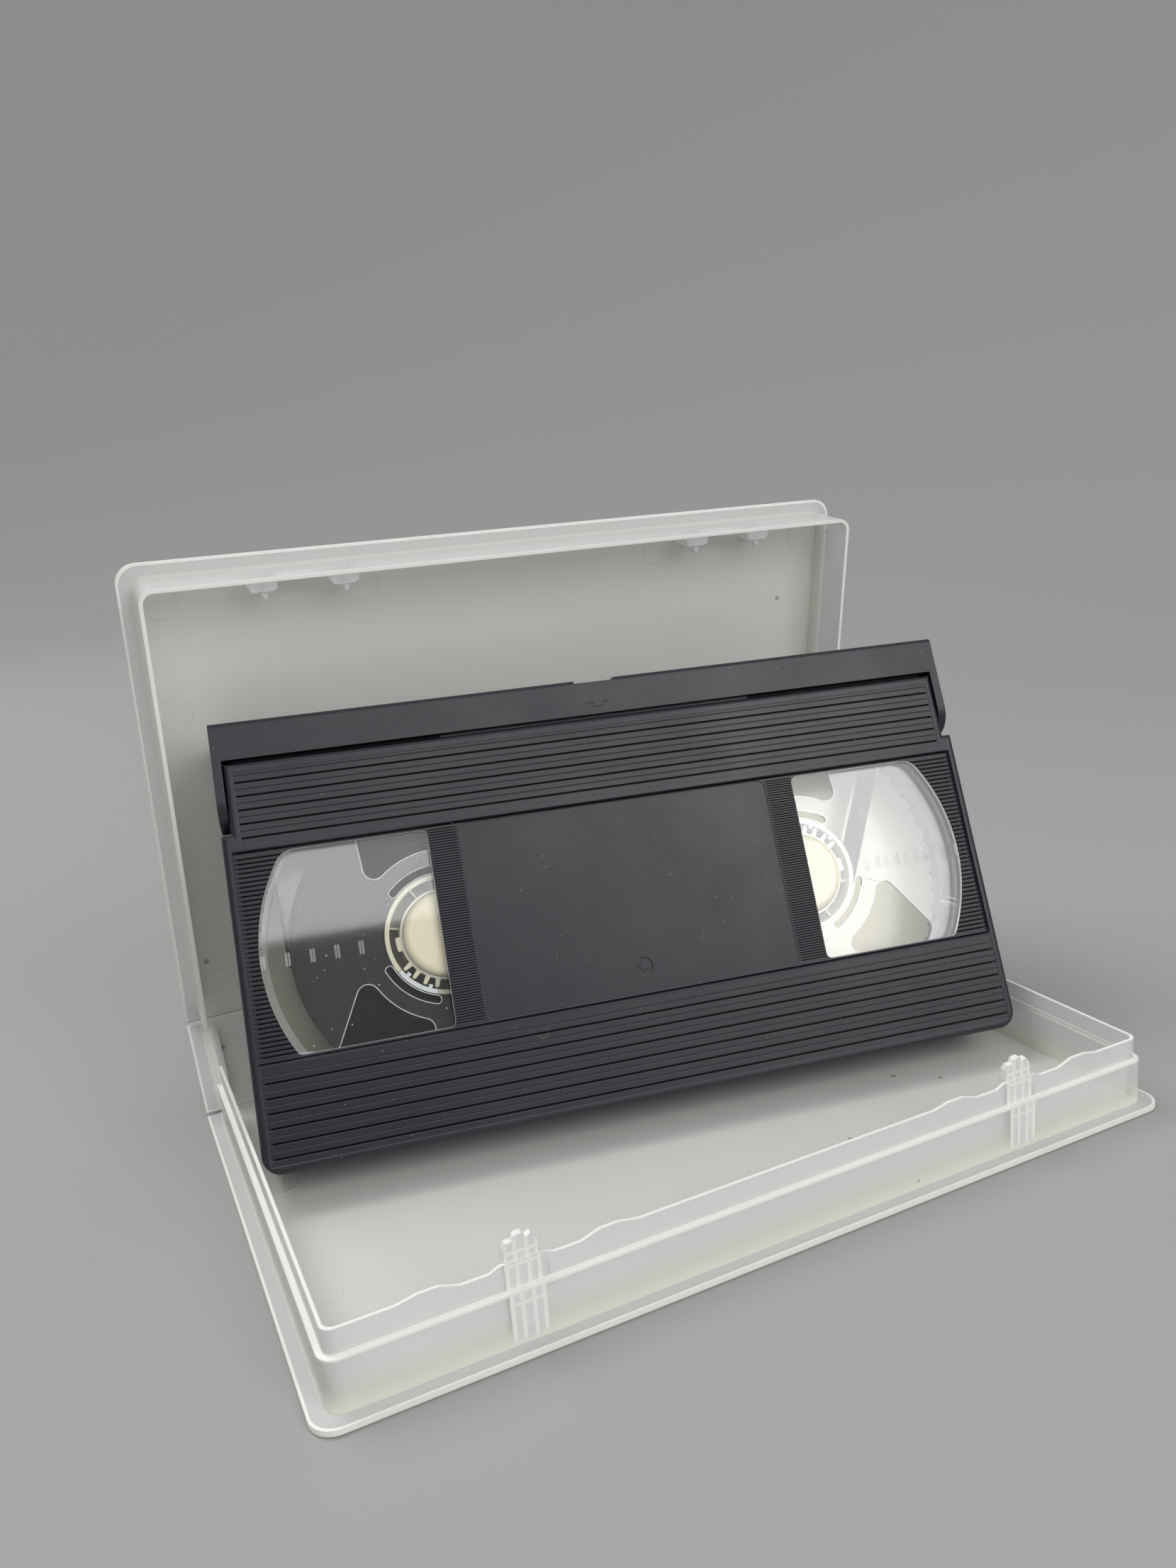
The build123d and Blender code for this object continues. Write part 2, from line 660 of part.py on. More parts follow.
def bottom_shell():
    """The lower half: floor with reel holes, release hole and mouth pockets, and walls."""
    body = shell_outline(0, shell_split - part_fit, cy - door_t - case_fit)
    body = fillet(body.faces().sort_by(Axis.Z)[0].edges(), shell_edge_r)
    body = cut_all(body, [chamber(floor_t, shell_split + 1)] + corner_ways(
        floor_t, shell_split + 1))
    mouth_x = roller_x - corner_way + run_fit
    mouth = block(-mouth_x, mouth_x, door_seam_y, cy + 1, floor_t, shell_split + 1)
    pockets = [block(x0, x1, door_seam_y, cy + 1, -1, floor_t + 1)
               for x0, x1 in ((-side_pocket[1], -side_pocket[0]),
                              (-middle_pocket, middle_pocket), side_pocket)]
    body = cut_all(body, [mouth] + pockets)
    body = body.fuse(*screw_posts(floor_t / 2, shell_split - part_fit, screw_boss_r))
    holes = [rod(side * reel_x, reel_y, -1, floor_t + 1, reel_hole_r) for side in (-1, 1)]
    holes += [rod(x, y, -1, screw_seat_z, screw_head_r + case_fit) for x, y in screw_places]
    holes += [rod(x, y, 0, shell_split + 1, screw_shaft_r + case_fit) for x, y in screw_places]
    holes += [rod(0, release_y, -1, floor_t + 1, release_hole_r)]
    body = cut_all(body, holes)
    inner_x = notch_x - shell_wall
    posts = [rod(side * brake_pivot_x, brake_pivot_y, floor_t / 2,
                 floor_t + brake_t + pivot_over, brake_post_r) for side in (-1, 1)]
    posts += [rod_x(inner_x - latch_t - pivot_over, inner_x + shell_wall / 2,
                    latch_pivot_y, latch_pivot_z, latch_post_r)]
    return body.fuse(*posts)


def window(side):
    """A clear pane with a glued frame below and five small gauge marks on its face."""
    top = roof_z + window_t
    frame_z = roof_z - window_frame_t
    pane = window_shape(side, part_fit, roof_z + part_fit, top)
    skirt = window_shape(side, -window_frame, frame_z, roof_z - part_fit)
    skirt -= window_shape(side, 2 * window_frame, frame_z - 1, roof_z)
    neck = window_shape(side, part_fit, frame_z, roof_z + window_t / 2)
    pieces = [neck, skirt]
    apart = (gauge_width - gauge_line) / 2
    half = gauge_line / 2
    pitch = (window_r - gauge_margin - gauge_first) / (gauge_marks - 1)
    for number in range(gauge_marks):
        centre = side * (reel_x + gauge_first + number * pitch)
        for x in (centre - apart, centre + apart):
            pieces.append(block(x - half, x + half, reel_y - gauge_drop,
                                reel_y - gauge_drop + gauge_length, top - half,
                                top + gauge_rise))
    return joined(pane, pieces)


def flange_teeth(x, z0, z1):
    """Notches round the lower flange's rim, where the brake pawls bite."""
    tools = []
    for number in range(rim_teeth):
        angle = 360 / rim_teeth * number
        tools.append(Pos(x, reel_y, (z0 + z1) / 2) * Rot(0, 0, angle) * Pos(flange_r, 0, 0)
                     * Box(2 * rim_tooth, rim_tooth_width, z1 - z0 + 1))
    return tools


def sector(x, angle, inner, outer, z0, z1):
    """A slice of a disc about a reel's axis; inner and outer are (radius, half angle)."""
    points = []
    for (radius, half), sign in ((outer, 1), (inner, -1)):
        for number in range(9):
            a = radians(angle + sign * half * (1 - number / 4))
            points.append((x + radius * cos(a), reel_y + radius * sin(a)))
    return slab(points, z0, z1)


def rounded_sector(x, angle, inner, outer, z0, z1, r):
    """A slice of a disc with true arcs and four round corners."""
    corners = []
    for (radius, half), sign in ((outer, 1), (inner, -1)):
        for turn in (-sign * half, 0.0, sign * half):
            a = radians(angle + turn)
            corners.append((x + radius * cos(a), reel_y + radius * sin(a)))
    face = make_face([ThreePointArc(*corners[:3]), Line(corners[2], corners[3]),
                      ThreePointArc(*corners[3:]), Line(corners[5], corners[0])])
    solid = Pos(0, 0, z0) * extrude(face, z1 - z0, dir=(0, 0, 1))
    return fillet(solid.edges().filter_by(Axis.Z), r)


def hub_details(x, clamp_angle, z0, top):
    """Ribs across the hub's well, tabs on its collar and fingers that grip the leader clamp."""
    collar_r = socket_r + socket_wall
    r0 = collar_r - part_fit
    r1 = hub_r - hub_ring_t
    pieces = []
    for number in range(hub_ribs):
        angle = clamp_angle + 360 / hub_ribs * (number + 0.5)
        if abs((angle - clamp_angle + 180) % 360 - 180) > clamp_half_angle + 2 * hub_rib_half:
            pieces.append(sector(x, angle, (r0, hub_rib_half), (r1 + part_fit, hub_rib_half),
                                 z0, top - hub_rib_drop))
    for number in range(hub_tabs):
        angle = clamp_angle - hub_tab_turn + 360 / hub_tabs * number
        pieces.append(sector(x, angle, (r0, hub_tab_half[0]),
                             (collar_r + hub_tab_reach, hub_tab_half[1]),
                             top - hub_tab_height, top))
    for share in finger_shares:
        pieces.append(sector(x, clamp_angle + share * clamp_half_angle, (r0, finger_half[0]),
                             (r1 - clamp_fit, finger_half[1]), z0, top))
    return pieces


def reel(side, clamp_angle):
    """Lower flange, hub tube, splined socket and domed cap of one reel."""
    x = side * reel_x
    top = upper_flange_z - part_fit
    flange_top = lower_flange_z + flange_t
    body = rod(x, reel_y, lower_flange_z, flange_top, flange_r)
    body = cut_all(body, flange_teeth(x, lower_flange_z, flange_top))
    tube = rod(x, reel_y, lower_flange_z, top, hub_r)
    collar = rod(x, reel_y, collar_z, flange_top, socket_r + socket_wall)
    body = body.fuse(tube, collar)
    cap = rod(x, reel_y, top - hub_floor_t / 2, dome_top, dome_r)
    cap = fillet(cap.edges().group_by(Axis.Z)[-1], dome_edge_r)
    well_z = flange_top + hub_floor_t
    well = ring(x, reel_y, well_z, top + 1, hub_r - hub_ring_t, socket_r + socket_wall)
    slot = sector(x, clamp_angle, (hub_r - hub_ring_t - part_fit, clamp_half_angle),
                  (hub_r + 1, clamp_half_angle), well_z, top + 1)
    body = cut_all(body, [well, slot])
    body = body.fuse(cap, *hub_details(x, clamp_angle, well_z - part_fit, top))
    socket_end = dome_top - socket_roof
    teeth = []
    for number in range(socket_teeth):
        angle = 360 / socket_teeth * number
        teeth.append(Pos(x, reel_y, 0) * Rot(0, 0, angle)
                     * block(socket_r - socket_tooth_depth, socket_r + part_fit,
                             -socket_tooth / 2, socket_tooth / 2,
                             collar_z + socket_tooth_depth, socket_end + part_fit))
    return (body - rod(x, reel_y, -1, socket_end, socket_r)).fuse(*teeth)


def leader_clamp(side, angle):
    """The curved clip that holds the tape's end in the hub, with two short hooked legs."""
    x = side * reel_x
    z0 = lower_flange_z + flange_t + hub_floor_t + part_fit
    z1 = upper_flange_z - 2 * part_fit
    half = clamp_half_angle - clamp_end_fit
    inner_r = hub_r - hub_ring_t
    arc = sector(x, angle, (inner_r, half), (hub_r - part_fit, half), z0, z1)
    hooks = []
    for share in hook_shares:
        hooks.append(sector(x, angle + share * clamp_half_angle,
                            (inner_r - 2 * clamp_fit, hook_half[0]),
                            (inner_r + part_fit, hook_half[1]), z0, z1))
    return arc.fuse(*hooks)


def reel_flange(side, first):
    """The clear upper flange, with three large openings and three slots beside the hub."""
    x = side * reel_x
    z0, z1 = upper_flange_z, upper_flange_z + clear_flange_t
    disc = rod(x, reel_y, z0, z1, flange_r)
    tools = [rod(x, reel_y, z0 - 1, z1 + 1, dome_r + pin_fit)]
    for number in range(openings):
        centre = first + 360 / openings * number
        tools.append(rounded_sector(x, centre, (hub_r + opening_in, opening_half_in),
                                    (tape_pack_r + opening_out, opening_half_out), z0 - 1,
                                    z1 + 1, opening_corner_r))
        tools.append(rounded_sector(x, centre, (hub_r + slot_in, slot_half),
                                    (hub_r + slot_out, slot_half), z0 - 1, z1 + 1,
                                    slot_corner_r))
    return cut_all(disc, tools)


def tape_z():
    """Lowest and highest edge of the tape, centred between the flanges."""
    middle = (lower_flange_z + flange_t + upper_flange_z) / 2
    return middle - tape_width / 2, middle + tape_width / 2


def tape_pack():
    """All the wound tape, a dark disc round the supply hub."""
    z0, z1 = tape_z()
    return ring(-reel_x, reel_y, z0, z1, tape_pack_r, hub_r + part_fit)


def tangent(centre, r_centre, guide, r_guide, side):
    """The two ends of the outer tangent between a reel's winding and its guide."""
    dx = guide[0] - centre[0]
    dy = guide[1] - centre[1]
    base = degrees(atan2(dy, dx))
    lift = degrees(acos((r_centre - r_guide) / sqrt(dx * dx + dy * dy)))
    angle = radians(base + side * lift)
    normal = (cos(angle), sin(angle))
    start = (centre[0] + r_centre * normal[0], centre[1] + r_centre * normal[1])
    end = (guide[0] + r_guide * normal[0], guide[1] + r_guide * normal[1])
    return start, end, normal


def tape_ribbon(start, end, normal):
    """A straight stretch of tape whose outer face lies away from the windings."""
    out = tape_t
    points = [start, end, (end[0] + out * normal[0], end[1] + out * normal[1]),
              (start[0] + out * normal[0], start[1] + out * normal[1])]
    z0, z1 = tape_z()
    return slab(points, z0, z1)


def tape_bend(x, y, r, start_angle, end_angle):
    """The tape round a guide."""
    z0, z1 = tape_z()
    inner = []
    outer = []
    for number in range(9):
        a = radians(start_angle + (end_angle - start_angle) * number / 8)
        inner.append((x + r * cos(a), y + r * sin(a)))
        outer.append((x + (r + tape_t) * cos(a), y + (r + tape_t) * sin(a)))
    return slab(inner + outer[::-1], z0, z1)


def tape_run():
    """The free tape from the wound pack, round both front guides, to the empty hub."""
    guide_r = roller_r + tape_on_guide
    left = tangent((-reel_x, reel_y), tape_pack_r + run_fit, (-roller_x, roller_y), guide_r, 1)
    right = tangent((reel_x, reel_y), hub_r + run_fit, (roller_x, roller_y), guide_r, -1)
    left_angle = degrees(atan2(left[2][1], left[2][0])) % 360
    right_angle = degrees(atan2(right[2][1], right[2][0]))
    z0, z1 = tape_z()
    front = block(-roller_x, roller_x, roller_y + guide_r, roller_y + guide_r + tape_t, z0, z1)
    pieces = [tape_ribbon(*left), tape_ribbon(*right),
              tape_bend(-roller_x, roller_y, guide_r, left_angle, 90),
              tape_bend(roller_x, roller_y, guide_r, right_angle, 90)]
    return joined(front, pieces)


def guide_pins():
    """Steel: the roller's axle at the supply side and the fixed guide post opposite."""
    top = roof_z - window_frame_t - 2 * clear_flange_t
    axle = rod(-roller_x, roller_y, floor_t + part_fit, top, guide_pin_r)
    post = rod(roller_x, roller_y, floor_t + part_fit, top, roller_r)
    return Compound(children=[axle, post])


def guide_roller():
    """The plastic roller that the tape turns on at the supply side."""
    z0, z1 = tape_z()
    return ring(-roller_x, roller_y, z0 - clear_flange_t, z1 + clear_flange_t, roller_r,
                guide_pin_r + pin_fit)


def tape_flap():
    """A thin springy sheet that steadies the tape against the supply guide."""
    z0, z1 = tape_z()
    x1 = -roller_x + corner_way - part_fit
    return block(x1 - tape_t, x1, mouth_wall_y, roller_y + roller_r - run_fit, z0 + roller_r,
                 z1 - roller_r)


def shell_screws():
    """Five self-tapping screws from below."""
    screws = []
    top = screw_seat_z - part_fit
    for x, y in screw_places:
        head = rod(x, y, top - screw_head_t, top, screw_head_r)
        slots = [Pos(x, y, top - screw_head_t) * Rot(0, 0, turn)
                 * Box(screw_head_r, screw_slot, screw_slot) for turn in (0, 90)]
        head = cut_all(head, slots)
        shaft = rod(x, y, top - screw_slot, roof_z - shell_wall, screw_shaft_r)
        screws.append(head.fuse(shaft))
    return Compound(children=screws)


def tape_door():
    """The hinged front door: top plate, front face, two side arms and its pivot pins."""
    front = cy
    plate = block(-cx, cx, door_seam_y + door_seam_gap, front, shell_height - door_t,
                  shell_height)
    face = block(-cx, cx, front - door_t, front, door_bottom, shell_height)
    pieces = [face]
    arm_x = notch_x + door_arm_gap
    pin_end = notch_x - shell_wall - (spring_turns + 2) * spring_wire
    for side in (-1, 1):
        x0, x1 = sorted((side * arm_x, side * cx))
        outline = [(door_pivot_y, door_pivot_z - door_arm_r),
                   (front - door_chin, door_bottom), (front, door_bottom),
                   (front, shell_height), (door_pivot_y, shell_height)]
        pieces.append(side_slab(outline, x0, x1))
        pieces.append(rod_x(x0, x1, door_pivot_y, door_pivot_z, door_arm_r))
        p0, p1 = sorted((side * (arm_x + door_arm_gap), side * pin_end))
        pieces.append(rod_x(p0, p1, door_pivot_y, door_pivot_z, door_pivot_pin_r))
    door = joined(plate, pieces)
    outer = [edge for edge in door.edges().filter_by(Axis.X)
             if abs(edge.center().Y - front) < 0.01 and edge.length > cx]
    door = fillet(outer, shell_edge_r)
    door -= block(-dent_half, dent_half, front - dent_depth, front + 1,
                  shell_height - dent_height, shell_height + 1)
    tip_y = front - arrow_from_edge
    head_y = tip_y - arrow_head
    tail_y = tip_y - arrow_length
    arrow = slab([(0, tip_y), (-arrow_half, head_y), (-arrow_stem_half, head_y),
                  (-arrow_stem_half, tail_y), (arrow_stem_half, tail_y),
                  (arrow_stem_half, head_y), (arrow_half, head_y)],
                 shell_height - arrow_rise, shell_height + arrow_rise)
    return door.fuse(arrow)


def coil(centre_x, y, z, radius, turns, pitch, wire):
    """A torsion spring: helix round X, swept with a round wire."""
    path = Helix(pitch, pitch * turns, radius)
    section = Plane(origin=path @ 0, z_dir=path % 0) * Circle(wire / 2)
    body = sweep(section, path=path)
    return Pos(centre_x, y, z) * Rot(0, 90, 0) * body


def door_spring():
    """The small torsion spring that keeps the door shut, on the left pivot pin."""
    start = -(notch_x - shell_wall) + spring_wire / 2 + part_fit
    print("door spring: least gap between curls", round(spring_pitch - spring_wire, 2), "mm")
    return coil(start, door_pivot_y, door_pivot_z, door_pivot_pin_r + spring_clear,
                spring_turns, spring_pitch, spring_wire)


def door_latch():
    """The catch inside the right side that holds the door shut until it is pressed."""
    x1 = notch_x - shell_wall - run_fit
    x0 = x1 - latch_t
    hook_y = cy - door_t - run_fit
    low, high = latch_pivot_z - latch_half, latch_pivot_z + latch_half
    tail_y = latch_pivot_y - 2 * latch_half
    outline = [(tail_y, low), (hook_y, low), (hook_y, high), (hook_y - latch_half, high),
               (hook_y - 2 * latch_half, high - latch_half / 2),
               (latch_pivot_y + latch_boss_r, high), (tail_y, high)]
    lever = side_slab(outline, x0, x1)
    lever = lever.fuse(rod_x(x0, x1, latch_pivot_y, latch_pivot_z, latch_boss_r))
    return lever - rod_x(x0 - 1, x1 + 1, latch_pivot_y, latch_pivot_z, latch_post_r + pin_fit)


def reel_leaf_spring():
    """The leaf spring under the roof whose two ends press on the reels' domes."""
    half = reel_x - window_frame
    tip = half - leaf_tip
    top = roof_z - part_fit
    low = dome_top + case_fit
    under = [(-half, low), (-tip, low), (-leaf_land, top - leaf_t), (leaf_land, top - leaf_t),
             (tip, low), (half, low)]
    over = [(x, z + leaf_t) for x, z in under]
    return front_slab(under + over[::-1], reel_y - leaf_width / 2, reel_y + leaf_width / 2)


def brake_pawl(side):
    """A brake lever: its tip stands just off the lower flange's teeth."""
    px, py = side * brake_pivot_x, brake_pivot_y
    rx = side * reel_x
    dx, dy = rx - px, reel_y - py
    dist = sqrt(dx * dx + dy * dy)
    ux, uy = dx / dist, dy / dist
    length = dist - flange_r - run_fit
    tip = (px + ux * length, py + uy * length)
    z0 = floor_t + run_fit
    z1 = z0 + brake_t
    boss = rod(px, py, z0, z1, brake_boss_r)
    wide = (-uy * brake_arm_half, ux * brake_arm_half)
    slim = (-uy * brake_tip_half, ux * brake_tip_half)
    arm = slab([(px + wide[0], py + wide[1]), (px - wide[0], py - wide[1]),
                (tip[0] - slim[0], tip[1] - slim[1]), (tip[0] + slim[0], tip[1] + slim[1])],
               z0, z1)
    tail_x = side * (release_half + 2 * clamp_fit)
    tail = slab([(px, py + brake_arm_half), (tail_x, release_y), (tail_x, release_y - brake_boss_r),
                 (px, py - brake_arm_half)], z0, z1)
    lever = boss.fuse(arm, tail)
    return lever - rod(px, py, z0 - 1, z1 + 1, brake_post_r + pin_fit)


def brake_release_lever():
    """The central tongue that a pin lifts through the hole in the floor, freeing both pawls."""
    z0 = floor_t + run_fit
    y1 = release_y + release_front
    foot = block(-release_half, release_half, release_y - release_back, y1, z0,
                 z0 + release_foot_t)
    stem = block(-release_stem_half, release_stem_half, y1 - release_stem_half, y1, z0,
                 z0 + release_stem_height)
    return foot.fuse(stem)


def brake_spring():
    """A bent leaf behind the pawls that pushes them back on."""
    y = -cy + shell_wall + part_fit
    face_y = y + brake_spring_t
    kink = brake_spring_half / 9
    z0 = floor_t + run_fit
    return slab([(-brake_spring_half, y), (brake_spring_half, y), (brake_spring_half, face_y),
                 (kink, face_y), (0, face_y + kink / 2), (-kink, face_y),
                 (-brake_spring_half, face_y)], z0, z0 + brake_spring_width)


# ---------------------------------------------------------------- place and write everything
lean = radians(cassette_lean)
edge_lift = shell_edge_r * (cos(lean) + sin(lean) - 1)
foot_z = panel_t + cassette_rest_gap - edge_lift
foot_plane = Plane(
    origin=(cassette_foot[0], cassette_foot[1], foot_z),
    x_dir=(cos(radians(cassette_yaw)), sin(radians(cassette_yaw)), 0),
    z_dir=(sin(radians(cassette_yaw)) * cos(lean), -cos(radians(cassette_yaw)) * cos(lean),
           sin(lean)))
cassette_place = foot_plane.location * Pos(0, cy, 0)

spine_place = Pos(0, hinge_y, hinge_z) * Rot(spine_rest_angle, 0, 0)
lid_hinge_y = hinge_y + spine_width * cos(radians(spine_rest_angle))
lid_hinge_z = hinge_z + spine_width * sin(radians(spine_rest_angle))


def leaning_angle():
    """The lid's angle when its inner face stands just off the cassette's front corners."""
    angles = []
    for x in (-cx, cx):
        edge = (cassette_place * Pos(x, cy - shell_edge_r, door_bottom + shell_edge_r)).position
        dy, dz = edge.Y - lid_hinge_y, edge.Z - lid_hinge_z
        off_plane = (panel_t / 2 + shell_edge_r + lean_gap) / sqrt(dy * dy + dz * dz)
        angles.append(degrees(atan2(dz, dy) - asin(off_plane)))
    return min(angles)


lid_rest_angle = leaning_angle()
lid_place = Pos(0, lid_hinge_y, lid_hinge_z) * Rot(lid_rest_angle, 0, 0)

case_parts = {
    "case_base": case_base(),
    "case_spine": spine_place * case_spine(),
    "case_lid": lid_place * case_lid(),
}
cassette_parts = {
    "top_shell": top_shell(),
    "bottom_shell": bottom_shell(),
    "window_left": window(-1),
    "window_right": window(1),
    "tape_door": tape_door(),
    "door_spring": door_spring(),
    "door_latch": door_latch(),
    "supply_reel": reel(-1, supply_clamp),
    "supply_reel_flange": reel_flange(-1, supply_opening),
    "takeup_reel": reel(1, takeup_clamp),
    "takeup_reel_flange": reel_flange(1, takeup_opening),
    "tape_pack": tape_pack(),
    "supply_leader_clamp": leader_clamp(-1, supply_clamp),
    "takeup_leader_clamp": leader_clamp(1, takeup_clamp),
    "reel_leaf_spring": reel_leaf_spring(),
    "brake_pawl_left": brake_pawl(-1),
    "brake_pawl_right": brake_pawl(1),
    "brake_release_lever": brake_release_lever(),
    "brake_spring": brake_spring(),
    "guide_roller": guide_roller(),
    "guide_pins": guide_pins(),
    "tape_run": tape_run(),
    "tape_flap": tape_flap(),
    "shell_screws": shell_screws(),
}
for part_name, part_shape in case_parts.items():
    save(part_name, part_shape)
for part_name, part_shape in cassette_parts.items():
    save(part_name, cassette_place * part_shape)
print("hinge line of the lid:", round(lid_hinge_y, 3), round(lid_hinge_z, 3),
      "and its angle:", round(lid_rest_angle, 3))
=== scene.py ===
# %% [markdown]
# # A video cassette leaning in its open library case
# The sizes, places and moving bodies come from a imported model, which is loaded first and never
# moved. This file gives every surface its finish, adds the small things that a mould or a
# machine leaves behind, and sets up a plain studio. All lengths here are metres.

# %% Load the frame
import json
import math

import bpy
import numpy as np
from mathutils import Matrix, Vector


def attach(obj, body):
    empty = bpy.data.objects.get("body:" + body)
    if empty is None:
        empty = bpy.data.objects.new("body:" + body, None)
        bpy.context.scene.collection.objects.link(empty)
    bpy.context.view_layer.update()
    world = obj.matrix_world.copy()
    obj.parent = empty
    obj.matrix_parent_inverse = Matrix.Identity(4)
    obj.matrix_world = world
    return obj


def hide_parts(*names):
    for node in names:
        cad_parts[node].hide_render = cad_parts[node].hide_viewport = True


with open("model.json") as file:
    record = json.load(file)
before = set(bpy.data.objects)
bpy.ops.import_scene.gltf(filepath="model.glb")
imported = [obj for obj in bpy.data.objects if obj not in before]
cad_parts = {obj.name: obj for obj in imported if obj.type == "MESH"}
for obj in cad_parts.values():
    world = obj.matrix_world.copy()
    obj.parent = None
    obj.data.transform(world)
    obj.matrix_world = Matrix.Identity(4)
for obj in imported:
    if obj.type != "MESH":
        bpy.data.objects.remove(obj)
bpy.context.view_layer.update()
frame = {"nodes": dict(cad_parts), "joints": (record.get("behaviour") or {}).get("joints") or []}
MM = 0.001
scene = bpy.context.scene
joints = {joint["name"]: joint for joint in frame["joints"]}

# %% [markdown]
# ## Where each moulding's own axes lie
# A pattern is easiest to write in the moulding's own axes: "rings about the hub" or "a line
# along the rim". The frame's joints say where the hinge lines and the reel axes are, so the
# cassette's axes are worked out from them. The case's two leaning panels turn about X, so one
# angle each is enough.

# %% Axes of the cassette, the spine and the lid
REEL_OFFSET = 46.0 * MM      # reel axis to the cassette's middle
REEL_Y = -4.9 * MM
JOINT_Z = 10.0 * MM          # height in the cassette at which the spin joints are placed
SPINE_ANGLE = math.radians(44.5)
LID_ANGLE = math.radians(99.8)


def axes_matrix(origin, x_dir, z_dir):
    """A matrix whose columns are X, Y = Z x X and Z, placed at the origin given."""
    x_axis = Vector(x_dir).normalized()
    z_axis = Vector(z_dir).normalized()
    y_axis = z_axis.cross(x_axis)
    turn = Matrix((x_axis, y_axis, z_axis)).transposed()
    return Matrix.Translation(origin) @ turn.to_4x4()


def hinge_frame(joint_name, angle):
    """The axes of a panel that stands at an angle about X on its hinge line."""
    return (Matrix.Translation(joints[joint_name]["pos_m"])
            @ Matrix.Rotation(angle, 4, "X"))


supply_axis = Vector(joints["supply_reel_spin"]["pos_m"])
takeup_axis = Vector(joints["takeup_reel_spin"]["pos_m"])
reel_direction = Vector(joints["supply_reel_spin"]["axis"])
cassette = axes_matrix((0, 0, 0), takeup_axis - supply_axis, reel_direction)
middle = (supply_axis + takeup_axis) / 2
cassette.translation = middle - cassette.to_3x3() @ Vector((0, REEL_Y, JOINT_Z))
supply_frame = cassette @ Matrix.Translation((-REEL_OFFSET, REEL_Y, 0))
takeup_frame = cassette @ Matrix.Translation((REEL_OFFSET, REEL_Y, 0))
tray_frame = Matrix.Identity(4)
spine_frame = hinge_frame("spine_hinge", SPINE_ANGLE)
lid_frame = hinge_frame("lid_hinge", LID_ANGLE)
print("cassette origin (mm):", [round(v / MM, 2) for v in cassette.translation])

# %% [markdown]
# ## The camera
# The photograph was taken close to the object with a short lens, from the left and a little
# above. The four corners of the cassette's face, whose real size is known, fix the camera's
# place, its turn and its focal length.

# %% Camera
IMAGE_WIDTH = 1659.0
FOCAL_PIXELS = 1661.0
SENSOR = 36.0
NEAREST = 0.01               # what is nearer to the camera than this isn't drawn
camera_place = Vector((-119.8, -237.6, 151.6)) * MM
camera_right = Vector((0.9004, -0.4276, -0.0800))
camera_up = Vector((0.1731, 0.1836, 0.9676))
camera_data = bpy.data.cameras.new("camera")
camera_data.sensor_fit = "HORIZONTAL"
camera_data.sensor_width = SENSOR
camera_data.lens = SENSOR * FOCAL_PIXELS / IMAGE_WIDTH
camera_data.clip_start = NEAREST
camera = bpy.data.objects.new("camera", camera_data)
scene.collection.objects.link(camera)
camera.matrix_world = axes_matrix(camera_place, camera_right, camera_right.cross(camera_up))
scene.camera = camera
print("lens (mm):", round(camera_data.lens, 2))

# %% [markdown]
# ## Small helpers for shader nodes
# A node tree could be wired node by node, as in Blender's editor, but it reads more easily when
# each step is one call. `put` adds a node, sets its unlinked inputs and wires the linked ones,
# and the helpers after it are the few kinds of arithmetic that the masks and tones need.


# %% Nodes, and arithmetic with them
def set_inputs(tree, node, **inputs):
    """Links a value that is a socket and sets any other; in0 means the node's first input."""
    for name, value in inputs.items():
        numbered = name.startswith("in") and name[2:].isdigit()
        socket = node.inputs[int(name[2:]) if numbered else name.replace("_", " ")]
        if isinstance(value, bpy.types.NodeSocket):
            tree.links.new(value, socket)
        else:
            socket.default_value = value


def put(tree, kind, settings=None, **inputs):
    """Adds a node with its settings and inputs."""
    node = tree.nodes.new(kind)
    for name, value in (settings or {}).items():
        setattr(node, name, value)
    set_inputs(tree, node, **inputs)
    return node


def math_node(tree, operation, first, second=0.0, clamp=False):
    """One arithmetic step."""
    return put(tree, "ShaderNodeMath", {"operation": operation, "use_clamp": clamp},
               in0=first, in1=second).outputs[0]


def times(tree, first, second):
    """The product of two masks or numbers."""
    return math_node(tree, "MULTIPLY", first, second)


def largest(tree, masks):
    """The highest of several masks."""
    total = masks[0]
    for mask in masks[1:]:
        total = math_node(tree, "MAXIMUM", total, mask)
    return total


def ramp(tree, value, low, high, first=0.0, second=1.0):
    """A smooth change from first to second while the value goes from low to high."""
    return put(tree, "ShaderNodeMapRange", {"interpolation_type": "SMOOTHSTEP"}, Value=value,
               From_Min=low, From_Max=high, To_Min=first, To_Max=second).outputs[0]


def band(tree, value, low, high, soft):
    """1 between low and high, falling to 0 over the soft distance on each side."""
    return times(tree, ramp(tree, value, low - soft, low),
                 ramp(tree, value, high, high + soft, 1.0, 0.0))


def blended(tree, factor, first, second, low=0.0, high=1.0):
    """A number that goes from first to second in step with the factor from low to high."""
    return put(tree, "ShaderNodeMapRange", Value=factor, From_Min=low, From_Max=high,
               To_Min=first, To_Max=second).outputs[0]


def mixed(tree, factor, first, second):
    """A colour between two others: a Mix node's inputs 0, 6 and 7 are factor, A and B."""
    return put(tree, "ShaderNodeMix", {"data_type": "RGBA"}, in0=factor, in6=first,
               in7=second).outputs[2]


helpers = (times, largest, ramp, band, blended, mixed)
print("arithmetic helpers:", [helper.__name__ for helper in helpers])

# %% [markdown]
# ## Places on a piece
# Patterns read Object coordinates, turned into a moulding's own axes by one Mapping node. They
# don't depend on where the camera stands, and they stay on the piece when it moves.


# %% Places on a piece
def split(tree, point):
    """The x, y and z of a point."""
    return put(tree, "ShaderNodeSeparateXYZ", Vector=point).outputs[:3]


